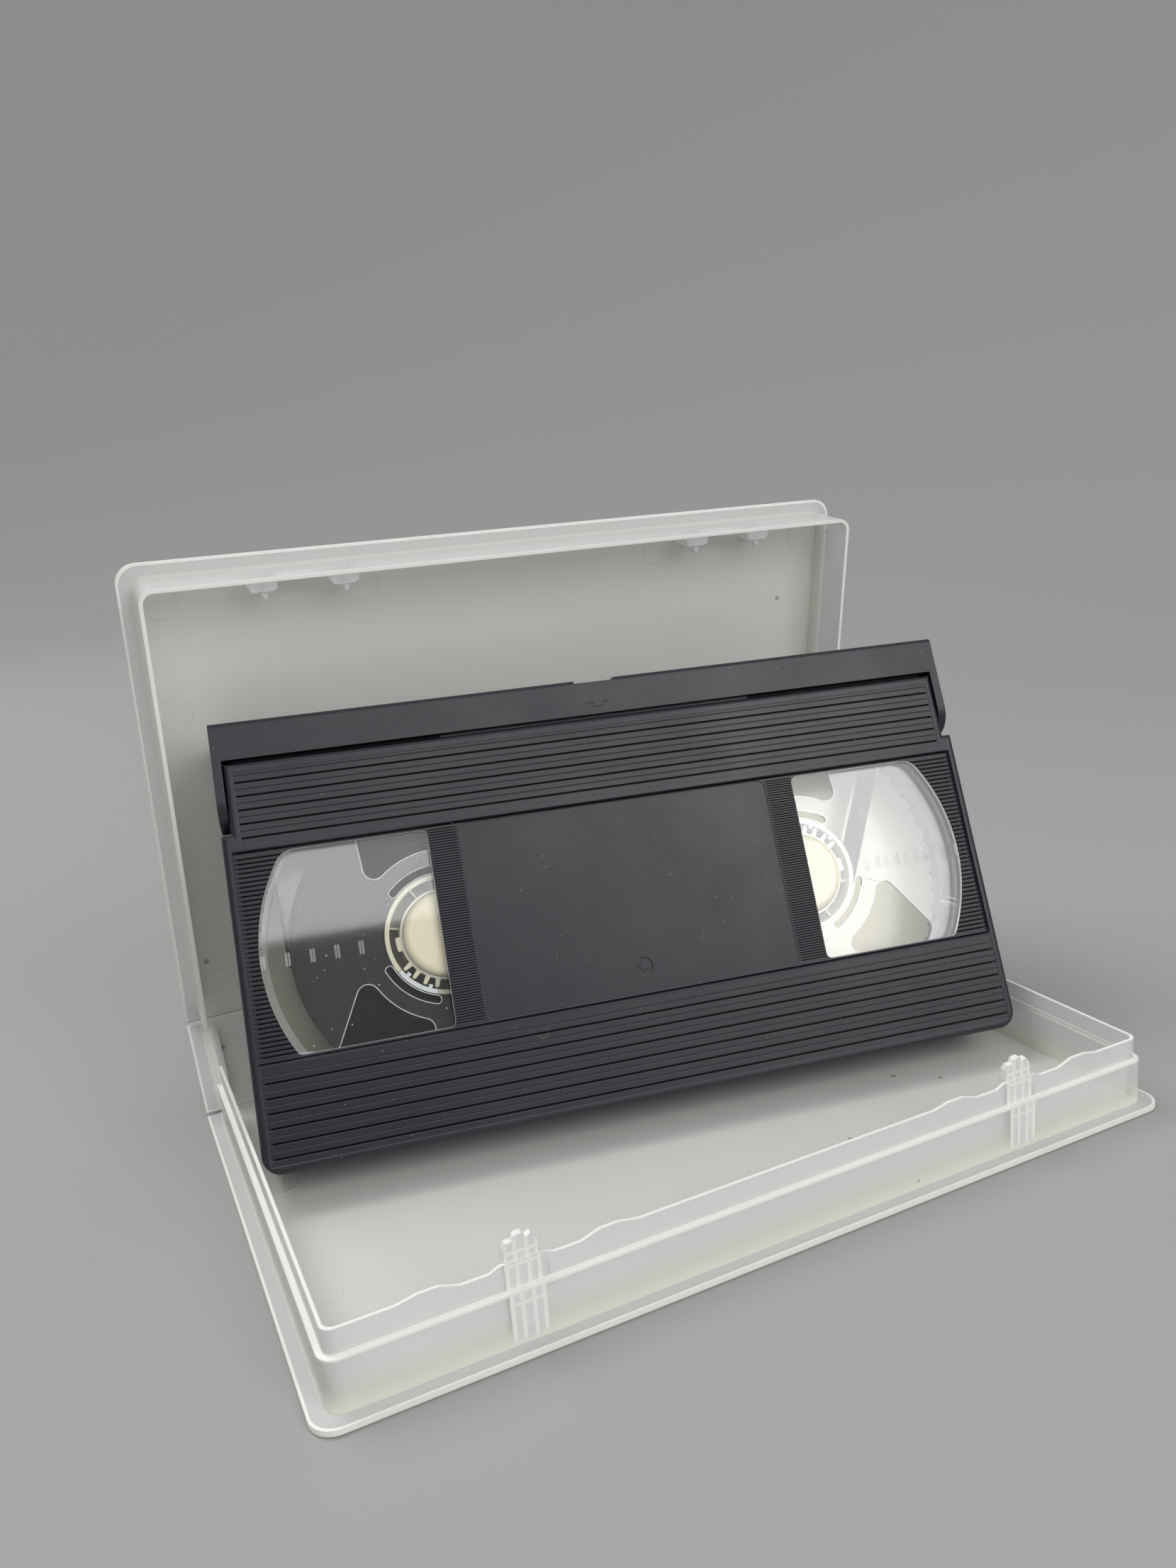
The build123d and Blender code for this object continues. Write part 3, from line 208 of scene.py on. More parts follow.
def flat_length(tree, x, y):
    """The length of the flat vector (x, y)."""
    vector = put(tree, "ShaderNodeCombineXYZ", X=x, Y=y).outputs[0]
    return put(tree, "ShaderNodeVectorMath", {"operation": "LENGTH"},
               in0=vector).outputs["Value"]


def local_point(tree, matrix):
    """Object coordinates turned into a moulding's own axes."""
    inverse = matrix.inverted()
    coordinates = put(tree, "ShaderNodeTexCoord").outputs["Object"]
    return put(tree, "ShaderNodeMapping", Vector=coordinates,
               Rotation=inverse.to_euler("XYZ"), Location=inverse.translation).outputs[0]


print("lid's axes start at (mm):", [round(v / MM, 2) for v in lid_frame.translation])

# %% [markdown]
# ## Materials and groups
# Nearly every finish is one Principled BSDF, since that shader describes most plastics and
# metals by itself. An effect that several finishes share is a node group: built once, with named
# inputs, and placed in each material with its own values.


# %% Materials and groups
def principled(name):
    """A material with its Principled BSDF, ready for inputs."""
    material = bpy.data.materials.new(name)
    material.use_nodes = True
    return material, material.node_tree, material.node_tree.nodes["Principled BSDF"]


def new_group(name, inputs, outputs):
    """An empty node group with named inputs (kind, default) and outputs (kind)."""
    group = bpy.data.node_groups.new(name, "ShaderNodeTree")
    for label, (kind, default) in inputs.items():
        socket = group.interface.new_socket(label, in_out="INPUT", socket_type=kind)
        if default is not None:
            socket.default_value = default
    for label, kind in outputs.items():
        group.interface.new_socket(label, in_out="OUTPUT", socket_type=kind)
    return group, group.nodes.new("NodeGroupInput"), group.nodes.new("NodeGroupOutput")


def place_group(tree, group, **inputs):
    """Puts a shared group into a material."""
    return put(tree, "ShaderNodeGroup", {"node_tree": group}, **inputs)


print("materials so far:", len(bpy.data.materials))

# %% [markdown]
# ## Shared effects: grain
# Moulded plastic shows the same few things everywhere: a fine grain that the mould's surface
# leaves, soft edges where two faces meet, hairline scratches from handling, and dust. Each is
# one node group with its own amounts, placed in every material that needs it. The grain could be
# a picture, but noise has no repeats and follows any shape. One noise is fine and gives height;
# a second is slow and shades the colour like a cloud.


# %% Grain group
def grain_group():
    """Height is fine noise at Scale; Shade is slow noise about 0.5."""
    group, inp, out = new_group("mould grain", {
        "Vector": ("NodeSocketVector", None), "Scale": ("NodeSocketFloat", 3000.0),
        "Cloud": ("NodeSocketFloat", 30.0)},
        {"Height": "NodeSocketFloat", "Shade": "NodeSocketFloat"})
    fine = put(group, "ShaderNodeTexNoise", Vector=inp.outputs["Vector"],
               Scale=inp.outputs["Scale"], Detail=3.0, Roughness=0.6)
    cloud = put(group, "ShaderNodeTexNoise", Vector=inp.outputs["Vector"],
                Scale=inp.outputs["Cloud"], Detail=4.0, Roughness=0.55)
    set_inputs(group, out, Height=fine.outputs[0], Shade=cloud.outputs[0])
    return group


def grain_bump(tree, grain, strength, depth, **normal):
    """The grain's height as a bump, on the shading normal or on the Normal given."""
    return put(tree, "ShaderNodeBump", Height=grain.outputs["Height"], Strength=strength,
               Distance=depth, **normal).outputs[0]


GRAIN_DEPTH = 0.04 * MM
mould_grain = grain_group()
print("grain group:", len(mould_grain.nodes), "nodes")

# %% [markdown]
# ## Shared effects: edges
# No moulded edge is sharp. A bevel could be cut into each mesh, but the meshes come from the
# frame and stay as they are, so a Bevel node rounds the shading instead. Where its rounded
# normal leaves the true one there is an edge, and that gives a mask for free.

# %% Edge group
FLAT_COSINE = 0.99           # between the rounded and the true normal, where an edge begins
EDGE_COSINE = 0.80           # and where it is full


def edge_group():
    """Mask is 1 on an edge, from the angle between a bevelled and the true normal."""
    group, inp, out = new_group("moulded edge", {
        "Radius": ("NodeSocketFloat", 0.4 * MM)},
        {"Mask": "NodeSocketFloat", "Normal": "NodeSocketVector"})
    bevel = put(group, "ShaderNodeBevel", {"samples": 4}, Radius=inp.outputs["Radius"])
    true = put(group, "ShaderNodeNewGeometry").outputs["Normal"]
    dot = put(group, "ShaderNodeVectorMath", {"operation": "DOT_PRODUCT"},
              in0=bevel.outputs[0], in1=true).outputs["Value"]
    set_inputs(group, out, Mask=blended(group, dot, 0.0, 1.0, FLAT_COSINE, EDGE_COSINE),
               Normal=bevel.outputs[0])
    return group


moulded_edge = edge_group()
print("edge group:", len(moulded_edge.nodes), "nodes")

# %% [markdown]
# ## Shared effects: scratches and dust
# A hairline is where smooth noise, stretched along one direction, crosses its middle value:
# level lines are thin, curved and never end abruptly, so more noise breaks them up. Dust is a
# Voronoi pattern whose cells are mostly empty: a cell keeps its round speck only if its random
# colour is low enough.

# %% Scratch and dust groups
STRETCH = (0.12, 1.0, 1.0)
BREAK_SCALE = 45.0
BREAK_LEVEL = 0.60
SPECK_SIZE = 0.25            # radius of a speck, as a share of its cell


def scratch_group():
    """Lines where noise, stretched along X and turned, crosses 0.5; broken up by more noise."""
    group, inp, out = new_group("hairline scratches", {
        "Vector": ("NodeSocketVector", None), "Scale": ("NodeSocketFloat", 12.0),
        "Turn": ("NodeSocketFloat", 0.4), "Width": ("NodeSocketFloat", 0.004)},
        {"Mask": "NodeSocketFloat"})
    turned = put(group, "ShaderNodeVectorRotate", {"rotation_type": "Z_AXIS"},
                 Vector=inp.outputs["Vector"], Angle=inp.outputs["Turn"]).outputs[0]
    stretched = put(group, "ShaderNodeVectorMath", {"operation": "MULTIPLY"}, in0=turned,
                    in1=STRETCH).outputs[0]
    noise = put(group, "ShaderNodeTexNoise", Vector=stretched, Scale=inp.outputs["Scale"],
                Detail=1.0).outputs[0]
    off = math_node(group, "ABSOLUTE", math_node(group, "SUBTRACT", noise, 0.5))
    line = math_node(group, "LESS_THAN", off, inp.outputs["Width"])
    breaks = put(group, "ShaderNodeTexNoise", Vector=inp.outputs["Vector"], Scale=BREAK_SCALE,
                 Detail=2.0).outputs[0]
    kept = math_node(group, "GREATER_THAN", breaks, BREAK_LEVEL)
    set_inputs(group, out, Mask=times(group, line, kept))
    return group


def dust_group():
    """Round specks in the cells of a Voronoi pattern whose random colour is below Share."""
    group, inp, out = new_group("dust specks", {
        "Vector": ("NodeSocketVector", None), "Scale": ("NodeSocketFloat", 600.0),
        "Share": ("NodeSocketFloat", 0.05)}, {"Mask": "NodeSocketFloat"})
    cells = put(group, "ShaderNodeTexVoronoi", {"feature": "F1"}, Vector=inp.outputs["Vector"],
                Scale=inp.outputs["Scale"], Randomness=1.0)
    near = math_node(group, "LESS_THAN", cells.outputs["Distance"], SPECK_SIZE)
    red = put(group, "ShaderNodeSeparateColor", Color=cells.outputs["Color"]).outputs[0]
    kept = math_node(group, "LESS_THAN", red, inp.outputs["Share"])
    set_inputs(group, out, Mask=times(group, near, kept))
    return group


hairline = scratch_group()
dust_specks = dust_group()
print("node groups:", [group.name for group in bpy.data.node_groups])

# %% [markdown]
# ## The case's plastic
# The case is thin polypropylene, milky and a little see-through. Light that enters a panel
# travels along it and comes out at its edges, which is why every rim is a bright warm line
# while the broad faces stay grey. Real scattering in such thin walls needs very many rays, so
# that glow is painted: rims and edges get a bright warm colour.
# Here each face is part solid and part open (its Alpha), so two faces in front of each other
# look whiter than one, and what stands behind a wall shows through. Masks in each moulding's
# own axes say where it is a broad panel, a thin wall, a latch or a rim. Here and below, a name
# with TONE and one with CLOUD are the two colours that the grain's slow noise mixes.

# %% Case plastic
PANEL_TONE = (0.800, 0.798, 0.755, 1.0)
PANEL_CLOUD = (0.850, 0.846, 0.805, 1.0)
LIP_TONE = (0.760, 0.750, 0.750, 1.0)
WALL_COOL = (0.860, 0.875, 0.865, 1.0)
WALL_WARM = (0.900, 0.882, 0.765, 1.0)
LATCH_TONE = (0.930, 0.938, 0.930, 1.0)
# The next tone is painted glow on rims and edges, and the white of bent plastic on the spine's
# flexing lines.
GLOW_AND_FLEX_WHITE_TONE = (0.960, 0.955, 0.900, 1.0)
SCRATCH_TONE = (0.900, 0.900, 0.870, 1.0)
SPECK_TONE = (0.160, 0.110, 0.070, 1.0)
SCRATCH_COVER, SPECK_COVER = 0.45, 0.55      # how much of the colour below they hide
PANEL_ALPHA, LIP_ALPHA, WALL_ALPHA, FOOT_ALPHA = 0.86, 0.70, 0.46, 0.90
LATCH_ALPHA, GLOW_AND_FLEX_WHITE_ALPHA = 0.74, 0.95
CASE_EDGE_R = 0.45 * MM


def case_plastic(name, matrix, zones):
    """Milky plastic; zones(tree, x, y, z) gives the masks lip, wall, foot, latch and rim."""
    material, tree, shader = principled(name)
    point = local_point(tree, matrix)
    zone = zones(tree, *split(tree, point))
    grain = place_group(tree, mould_grain, Vector=point, Scale=1400.0, Cloud=18.0)
    edge = place_group(tree, moulded_edge, Radius=CASE_EDGE_R)
    lines = place_group(tree, hairline, Vector=point, Scale=14.0, Turn=0.5, Width=0.0007)
    specks = place_group(tree, dust_specks, Vector=point, Scale=330.0, Share=0.0035)
    # Painted glow on rims and moulded edges, with the white of the spine's flexing lines.
    glow_and_flex_white = math_node(tree, "MAXIMUM", zone["rim"], edge.outputs["Mask"], clamp=True)
    wall_tone = mixed(tree, zone["foot"], WALL_COOL, WALL_WARM)
    colour = mixed(tree, grain.outputs["Shade"], PANEL_TONE, PANEL_CLOUD)
    for mask, tone in ((zone["lip"], LIP_TONE), (zone["wall"], wall_tone),
                       (zone["latch"], LATCH_TONE),
                       (times(tree, lines.outputs[0], SCRATCH_COVER), SCRATCH_TONE),
                       (times(tree, specks.outputs[0], SPECK_COVER), SPECK_TONE),
                       (glow_and_flex_white, GLOW_AND_FLEX_WHITE_TONE)):
        colour = mixed(tree, mask, colour, tone)
    foot = times(tree, zone["foot"], zone["foot"])
    solid = blended(tree, zone["lip"], PANEL_ALPHA, LIP_ALPHA)
    for mask, alpha in ((zone["wall"], blended(tree, foot, WALL_ALPHA, FOOT_ALPHA)),
                        (zone["latch"], LATCH_ALPHA), (glow_and_flex_white, GLOW_AND_FLEX_WHITE_ALPHA)):
        change = math_node(tree, "SUBTRACT", alpha, solid)
        solid = math_node(tree, "ADD", solid, times(tree, change, mask))
    bump = grain_bump(tree, grain, strength=0.12, depth=GRAIN_DEPTH,
                      Normal=edge.outputs["Normal"])
    set_inputs(tree, shader, Base_Color=colour, Alpha=solid, Normal=bump, IOR=1.49,
               Roughness=blended(tree, grain.outputs["Shade"], 0.30, 0.50))
    return material


print("share of light that a wall lets through:", round(1 - WALL_ALPHA, 2))

# %% [markdown]
# ## Zones of the three mouldings
# `band` makes a soft-edged stripe along one axis, and products of stripes make boxes. A panel's
# outline has round corners, so the distance past it is measured from the corner's centre.

# %% Zones: what the three mouldings share
PANEL_EDGE_X = 101.5 * MM
WALL_OUT = 98.3 * MM
CASE_CORNER_R = 5.0 * MM
WALL_CORNER_R = 3.5 * MM
# The bright line along a panel's outer edge is painted glow.
EDGE_LINE = 0.45 * MM        # width of the bright line along a panel's outer edge
LATCH_X = 60.0 * MM
SOFT = 0.1 * MM              # most masks fade over this distance
SOFT_EDGE = 0.2 * MM
STRIPE_SOFT = 0.12 * MM
FAR = 1.0


def absolute(tree, value):
    """A number without its sign."""
    return math_node(tree, "ABSOLUTE", value)


def stripe(tree, value, centre, half):
    """1 within half of a centre line."""
    return band(tree, value, centre - half, centre + half, STRIPE_SOFT)


def off_latch(tree, x):
    """How far a place is from the middle of the nearer latch, along X."""
    return absolute(tree, math_node(tree, "SUBTRACT", absolute(tree, x), LATCH_X))


def past_outline(tree, x, y, half_x, front, sign, corner_r, soft):
    """1 outside an outline with two round corners; sign says which way the front lies."""
    along = times(tree, y, sign)
    over_x = math_node(tree, "SUBTRACT", absolute(tree, x), half_x - corner_r)
    over_y = math_node(tree, "SUBTRACT", along, front * sign - corner_r)
    reach = flat_length(tree, math_node(tree, "MAXIMUM", over_x),
                        math_node(tree, "MAXIMUM", over_y))
    return band(tree, reach, corner_r, FAR, soft)


def outer_edges(tree, x, y, front, sign):
    """The outer 0.5 mm of a panel: both ends, the corners and the long free edge."""
    return past_outline(tree, x, y, PANEL_EDGE_X - EDGE_LINE, front - EDGE_LINE * sign, sign,
                        CASE_CORNER_R, SOFT_EDGE)


def outside_walls(tree, x, y, wall, sign):
    """The panel's lip, which stands out past the walls."""
    return past_outline(tree, x, y, WALL_OUT, wall, sign, WALL_CORNER_R, SOFT)


print("case panel (mm):", 2 * PANEL_EDGE_X / MM, "wide")

# %% [markdown]
# ## Zones of the tray
# The tray's latch posts get a stripe of painted glow for every rib of their grid, because light
# runs up those ribs. The thin rim on top gets painted glow too, and is found by its upward
# normal, since its line is wavy.

# %% Zones: the tray
TRAY_FRONT = -63.0 * MM
TRAY_WALL_Y = -59.8 * MM
TRAY_WALL_FOOT = 1.3 * MM    # just above the panel's top
TRAY_FOOT = (1.5 * MM, 7.0 * MM)             # warm up to here, and fading over this distance
# A line of painted glow along the step.
STEP_Z, STEP_HALF = 12.0 * MM, 0.28 * MM
RIM_FROM = 15.7 * MM         # the crest of the wavy rim is higher than this
UPWARD = 0.6                 # a face whose normal rises more than this is the rim's crest
POST_HALF = 3.6 * MM
POST_Y = (-60.2 * MM, -55.8 * MM)
POST_FOOT, POST_FADE = 3.0 * MM, 1.5 * MM
RIB_HALF = 0.32 * MM
POST_RIBS_X = (3.15 * MM, 1.17 * MM)
POST_RIBS_Z = (9.6 * MM, 16.85 * MM, 19.2 * MM)


def tray_zones(tree, x, y, z):
    """Lip, walls, the two latch posts with their ribs, the step and the thin rim."""
    from_post = off_latch(tree, x)
    post = times(tree, band(tree, from_post, -FAR, POST_HALF, SOFT),
                 band(tree, y, *POST_Y, SOFT))
    post = times(tree, post, band(tree, z, POST_FOOT, FAR, POST_FADE))
    ribs = [stripe(tree, from_post, centre, RIB_HALF) for centre in POST_RIBS_X]
    ribs += [stripe(tree, z, centre, RIB_HALF) for centre in POST_RIBS_Z]
    upward = split(tree, put(tree, "ShaderNodeTexCoord").outputs["Normal"])[2]
    crest = times(tree, band(tree, upward, UPWARD, FAR, 0.1), band(tree, z, RIM_FROM, FAR, SOFT))
    return {"lip": outside_walls(tree, x, y, TRAY_WALL_Y, -1.0),
            "wall": band(tree, z, TRAY_WALL_FOOT, FAR, SOFT),
            "foot": band(tree, z, -FAR, *TRAY_FOOT),
            "latch": post,
            # Painted glow: the outer edges, the step's line, the rim's crest and the posts'
            # ribs.
            "rim": largest(tree, [outer_edges(tree, x, y, TRAY_FRONT, -1.0),
                                  stripe(tree, z, STEP_Z, STEP_HALF), crest,
                                  times(tree, largest(tree, ribs), post)])}


tray_material = case_plastic("milky case tray", tray_frame, tray_zones)
print("tray:", len(tray_material.node_tree.nodes), "nodes")

# %% [markdown]
# ## Zones of the lid and the spine
# The lid's latch is a row of hooks under its wall's rim, brighter than the wall because they are
# thick. The spine has no latch. It flexes along two lines beside its hinges, and bent plastic
# turns white there.

# %% Zones: the lid and the spine
LID_LENGTH = 126.0 * MM
LID_WALL_Y = 122.8 * MM
LID_RIM = 15.7 * MM
LID_RIM_LINE = 0.35 * MM
HOOK_SPREAD = 16.0 * MM
HOOK_Y = 114.5 * MM
HOOK_CLEAR = 1.1 * MM        # from the wall's outer face to just past its inner one
SPINE_WIDTH = 27.6 * MM
FLEX_LINE, FLEX_SOFT = 1.3 * MM, 0.3 * MM
THIN_WALL_FOOT = 0.75 * MM   # just above the inner face of the lid and the spine
THIN_FOOT = (0.8 * MM, 5.0 * MM)


def lid_zones(tree, x, y, z):
    """Lip, walls, the latch hooks and the wall's rim."""
    hook = times(tree, band(tree, off_latch(tree, x), -FAR, HOOK_SPREAD, SOFT),
                 band(tree, y, HOOK_Y, LID_WALL_Y - HOOK_CLEAR, SOFT))
    high = band(tree, z, THIN_WALL_FOOT, FAR, SOFT)
    return {"lip": outside_walls(tree, x, y, LID_WALL_Y, 1.0),
            "wall": high,
            "foot": band(tree, z, -FAR, *THIN_FOOT),
            "latch": times(tree, hook, high),
            # Painted glow along the outer edges and the wall's rim.
            "rim": largest(tree, [outer_edges(tree, x, y, LID_LENGTH, 1.0),
                                  band(tree, z, LID_RIM - LID_RIM_LINE, FAR, SOFT_EDGE)])}


def spine_zones(tree, x, y, z):
    """The two ends and the flexing lines beside the hinges."""
    side = absolute(tree, x)
    return {"lip": band(tree, side, WALL_OUT, FAR, SOFT),
            "wall": band(tree, z, THIN_WALL_FOOT, FAR, SOFT),
            "foot": band(tree, z, -FAR, *THIN_FOOT),
            "latch": 0.0,
            # Painted glow along the ends; the flexing lines are the white of bent plastic.
            "rim": largest(tree, [band(tree, side, PANEL_EDGE_X - EDGE_LINE, FAR, SOFT_EDGE),
                                  band(tree, y, -FAR, FLEX_LINE, FLEX_SOFT),
                                  band(tree, y, SPINE_WIDTH - FLEX_LINE, FAR, FLEX_SOFT)])}


lid_material = case_plastic("milky case lid", lid_frame, lid_zones)
spine_material = case_plastic("milky case spine", spine_frame, spine_zones)
print("lid and spine:", len(lid_material.node_tree.nodes),
      len(spine_material.node_tree.nodes), "nodes")

# %% [markdown]
# ## The cassette's grooves
# In the photograph the grooves of the bands and the combs beside the label are nearly black
# lines. Broad lamps fill such shallow grooves with light, so a mask by height paints shade in
# them.

# %% Mask of the grooves
GROOVE_Z = (24.15 * MM, 24.60 * MM)          # between the middle zone's top and the bands' top
GROOVE_HALF_X = 91.0 * MM
GROOVE_HALF_Y = 49.5 * MM
GROOVE_SOFT = 0.5 * MM
COMB_Z = (23.00 * MM, 23.80 * MM)            # the combs are cut into the middle zone
COMB_X = 40.2 * MM
DEPTH_SOFT = 0.08 * MM


def groove_shade_mask(tree, point):
    """1 in the grooves, combs and steps of the shell's top, where light hardly gets in; painted
    shade.
    """
    x, y, z = split(tree, point)
    side = absolute(tree, x)
    inside = times(tree, band(tree, side, -FAR, GROOVE_HALF_X, GROOVE_SOFT),
                   band(tree, absolute(tree, y), -FAR, GROOVE_HALF_Y, GROOVE_SOFT))
    combs = times(tree, band(tree, side, COMB_X, FAR, SOFT),
                  band(tree, z, *COMB_Z, DEPTH_SOFT))
    return times(tree, inside, largest(tree, [band(tree, z, *GROOVE_Z, DEPTH_SOFT), combs]))


print("dark heights of the bands (mm):", [round(height / MM, 2) for height in GROOVE_Z])

# %% [markdown]
# ## The cassette's shell
# Injection moulded polystyrene: nearly black, with the fine even grain of a spark-eroded
# mould; its touch of blue is a painted reflection of cool light. The edges of the grooves get
# a painted highlight, a paler tone than the flats. One material does for both halves and the
# door, because they are of one batch of plastic.

# %% Shell material
# Charcoal tones; their touch of blue is a painted reflection of cool light.
SHELL_AND_BLUE_SHEEN_TONE = (0.0105, 0.0122, 0.0180, 1.0)
SHELL_AND_BLUE_SHEEN_CLOUD = (0.0152, 0.0174, 0.0245, 1.0)
# A painted highlight on the moulded edges.
EDGE_HIGHLIGHT_TONE = (0.150, 0.155, 0.172, 1.0)
# Painted shade in the grooves and combs.
GROOVE_SHADE_TONE = (0.0015, 0.0015, 0.0020, 1.0)
MARK_TONE = (0.30, 0.29, 0.27, 1.0)
EDGE_HIGHLIGHT_COVER, GROOVE_SHADE_COVER, DUST_COVER, LINE_COVER = 0.65, 0.80, 0.45, 0.12
SHEEN, GROOVE_SHEEN = 0.5, 0.08
SHELL_EDGE_R = 0.25 * MM
SHELL_GRAIN_DEPTH = 0.06 * MM


def shell_plastic(name):
    """Charcoal plastic: grain, painted edge highlights and groove shade, dust, a few scratches.
    """
    material, tree, shader = principled(name)
    point = local_point(tree, cassette)
    groove_shade = groove_shade_mask(tree, point)
    grain = place_group(tree, mould_grain, Vector=point, Scale=2600.0, Cloud=40.0)
    edge = place_group(tree, moulded_edge, Radius=SHELL_EDGE_R)
    dust = place_group(tree, dust_specks, Vector=point, Scale=1300.0, Share=0.005)
    lines = place_group(tree, hairline, Vector=point, Scale=22.0, Turn=1.1, Width=0.0003)
    marks = largest(tree, [times(tree, dust.outputs[0], DUST_COVER),
                           times(tree, lines.outputs[0], LINE_COVER)])
    colour = mixed(tree, grain.outputs["Shade"], SHELL_AND_BLUE_SHEEN_TONE, SHELL_AND_BLUE_SHEEN_CLOUD)
    # Painted highlight on edges, painted shade in grooves, then dust and scratches.
    for mask, tone in ((times(tree, edge.outputs["Mask"], EDGE_HIGHLIGHT_COVER), EDGE_HIGHLIGHT_TONE),
                       (times(tree, groove_shade, GROOVE_SHADE_COVER), GROOVE_SHADE_TONE), (marks, MARK_TONE)):
        colour = mixed(tree, mask, colour, tone)
    bump = grain_bump(tree, grain, strength=0.5, depth=SHELL_GRAIN_DEPTH,
                      Normal=edge.outputs["Normal"])
    set_inputs(tree, shader, Base_Color=colour, Normal=bump, IOR=1.55,
               Roughness=blended(tree, grain.outputs["Shade"], 0.35, 0.45, low=0.3, high=0.7),
               Specular_IOR_Level=blended(tree, groove_shade, SHEEN, GROOVE_SHEEN))
    return material


shell_material = shell_plastic("charcoal shell")
print("shell:", len(shell_material.node_tree.nodes), "nodes")

# %% [markdown]
# ## Windows and clear flanges
# The panes and the upper flanges are clear polystyrene. Seen against dark tape they only show
# by their reflections and by their moulded edges, where light that ran inside the sheet comes
# out white. Glass shaders block lamps, which would leave the reels in the dark, so rays from
# lamps pass straight through: a flat thin pane hardly bends them anyway. A second, white shader
# paints that glow on the edges as a painted highlight, and is also mixed in on scratches and
# specks, and a little on the panes' round ends.

# %% Clear plastic
FLANGE_R = 44.5 * MM
PANE_FROST_R = 41.4 * MM     # the pane's round end, seen from the reel's axis, is duller past it
FROST, FROST_SOFT = 0.08, 0.25 * MM
CLEAR_MARK_COVER = 0.35
# White for the painted glow on moulded edges, and for frost, scratches and specks.
EDGE_GLOW_AND_MARK_TONE = (0.95, 0.96, 0.97, 1.0)
PANE = {"tint": (0.95, 0.96, 0.965, 1.0), "ior": 1.46, "frost_from": PANE_FROST_R,
        "edge_glow_cover": 0.75, "edge_r": 0.3 * MM}
FLANGE = {"tint": (0.93, 0.94, 0.945, 1.0), "ior": 1.62, "frost_from": FLANGE_R,
          "edge_glow_cover": 1.0, "edge_r": 0.5 * MM}


def from_axis(tree, point):
    """The distance from a reel's axis, and the height, in the reel's own axes."""
    x, y, height = split(tree, point)
    return flat_length(tree, x, y), height


def clear_plastic(name, matrix, tint, ior, frost_from, edge_glow_cover, edge_r):
    """Clear plastic, painted glow on moulded edges, frosted a little past a radius from the
    reel.
    """
    material, tree, shader = principled(name)
    point = local_point(tree, matrix)
    radius = from_axis(tree, point)[0]
    edge = place_group(tree, moulded_edge, Radius=edge_r)
    lines = place_group(tree, hairline, Vector=point, Scale=30.0, Turn=0.3, Width=0.0016)
    grain = place_group(tree, mould_grain, Vector=point, Scale=900.0, Cloud=60.0)
    dust = place_group(tree, dust_specks, Vector=point, Scale=1100.0, Share=0.012)
    frost = times(tree, band(tree, radius, frost_from, FAR, FROST_SOFT), FROST)
    marks = times(tree, largest(tree, [lines.outputs[0], dust.outputs[0]]), CLEAR_MARK_COVER)
    # Painted glow on the moulded edges, with frost, scratches and specks.
    white = largest(tree, [times(tree, edge.outputs["Mask"], edge_glow_cover), frost, marks])
    set_inputs(tree, shader, Base_Color=tint, IOR=ior, Transmission_Weight=1.0,
               Roughness=blended(tree, grain.outputs["Shade"], 0.015, 0.07))
    milky = put(tree, "ShaderNodeBsdfPrincipled", Roughness=0.2, Base_Color=EDGE_GLOW_AND_MARK_TONE)
    sheet = put(tree, "ShaderNodeMixShader", in0=white, in1=shader.outputs[0],
                in2=milky.outputs[0])
    path = put(tree, "ShaderNodeLightPath")
    passed = put(tree, "ShaderNodeBsdfTransparent", Color=tint)
    surface = put(tree, "ShaderNodeMixShader", in0=path.outputs["Is Shadow Ray"],
                  in1=sheet.outputs[0], in2=passed.outputs[0])
    set_inputs(tree, tree.nodes["Material Output"], Surface=surface.outputs[0])
    return material


left_clear = clear_plastic("clear left window", supply_frame, **PANE)
right_clear = clear_plastic("clear right window", takeup_frame, **PANE)
supply_clear = clear_plastic("clear supply flange", supply_frame, **FLANGE)
takeup_clear = clear_plastic("clear takeup flange", takeup_frame, **FLANGE)
print("clear plastics:", PANE["ior"], "and", FLANGE["ior"])

# %% [markdown]
# ## The reels
# The hubs are ivory, and the lower flange is a thinner, greyer part of the same moulding, so one
# material tells the two apart by the distance from the reel's axis. The ring-shaped well between
# the hub's collar and its wall is deep, and gets a painted brown shade, fading towards its top.

# %% Ivory plastic
IVORY = (0.72, 0.660, 0.455, 1.0)
IVORY_LIGHT = (0.80, 0.745, 0.555, 1.0)
WELL_SHADE_BROWN = (0.170, 0.130, 0.070, 1.0)
FLANGE_TONE = (0.560, 0.515, 0.370, 1.0)
HUB_R, HUB_SOFT = 15.0 * MM, 0.3 * MM
WELL_R, WELL_SOFT = (11.1 * MM, 13.1 * MM), 0.2 * MM
WELL_TOP, WELL_FADE = 15.0 * MM, 3.5 * MM
WELL_SHADE_COVER = 0.85
REEL_EDGE_R = 0.3 * MM


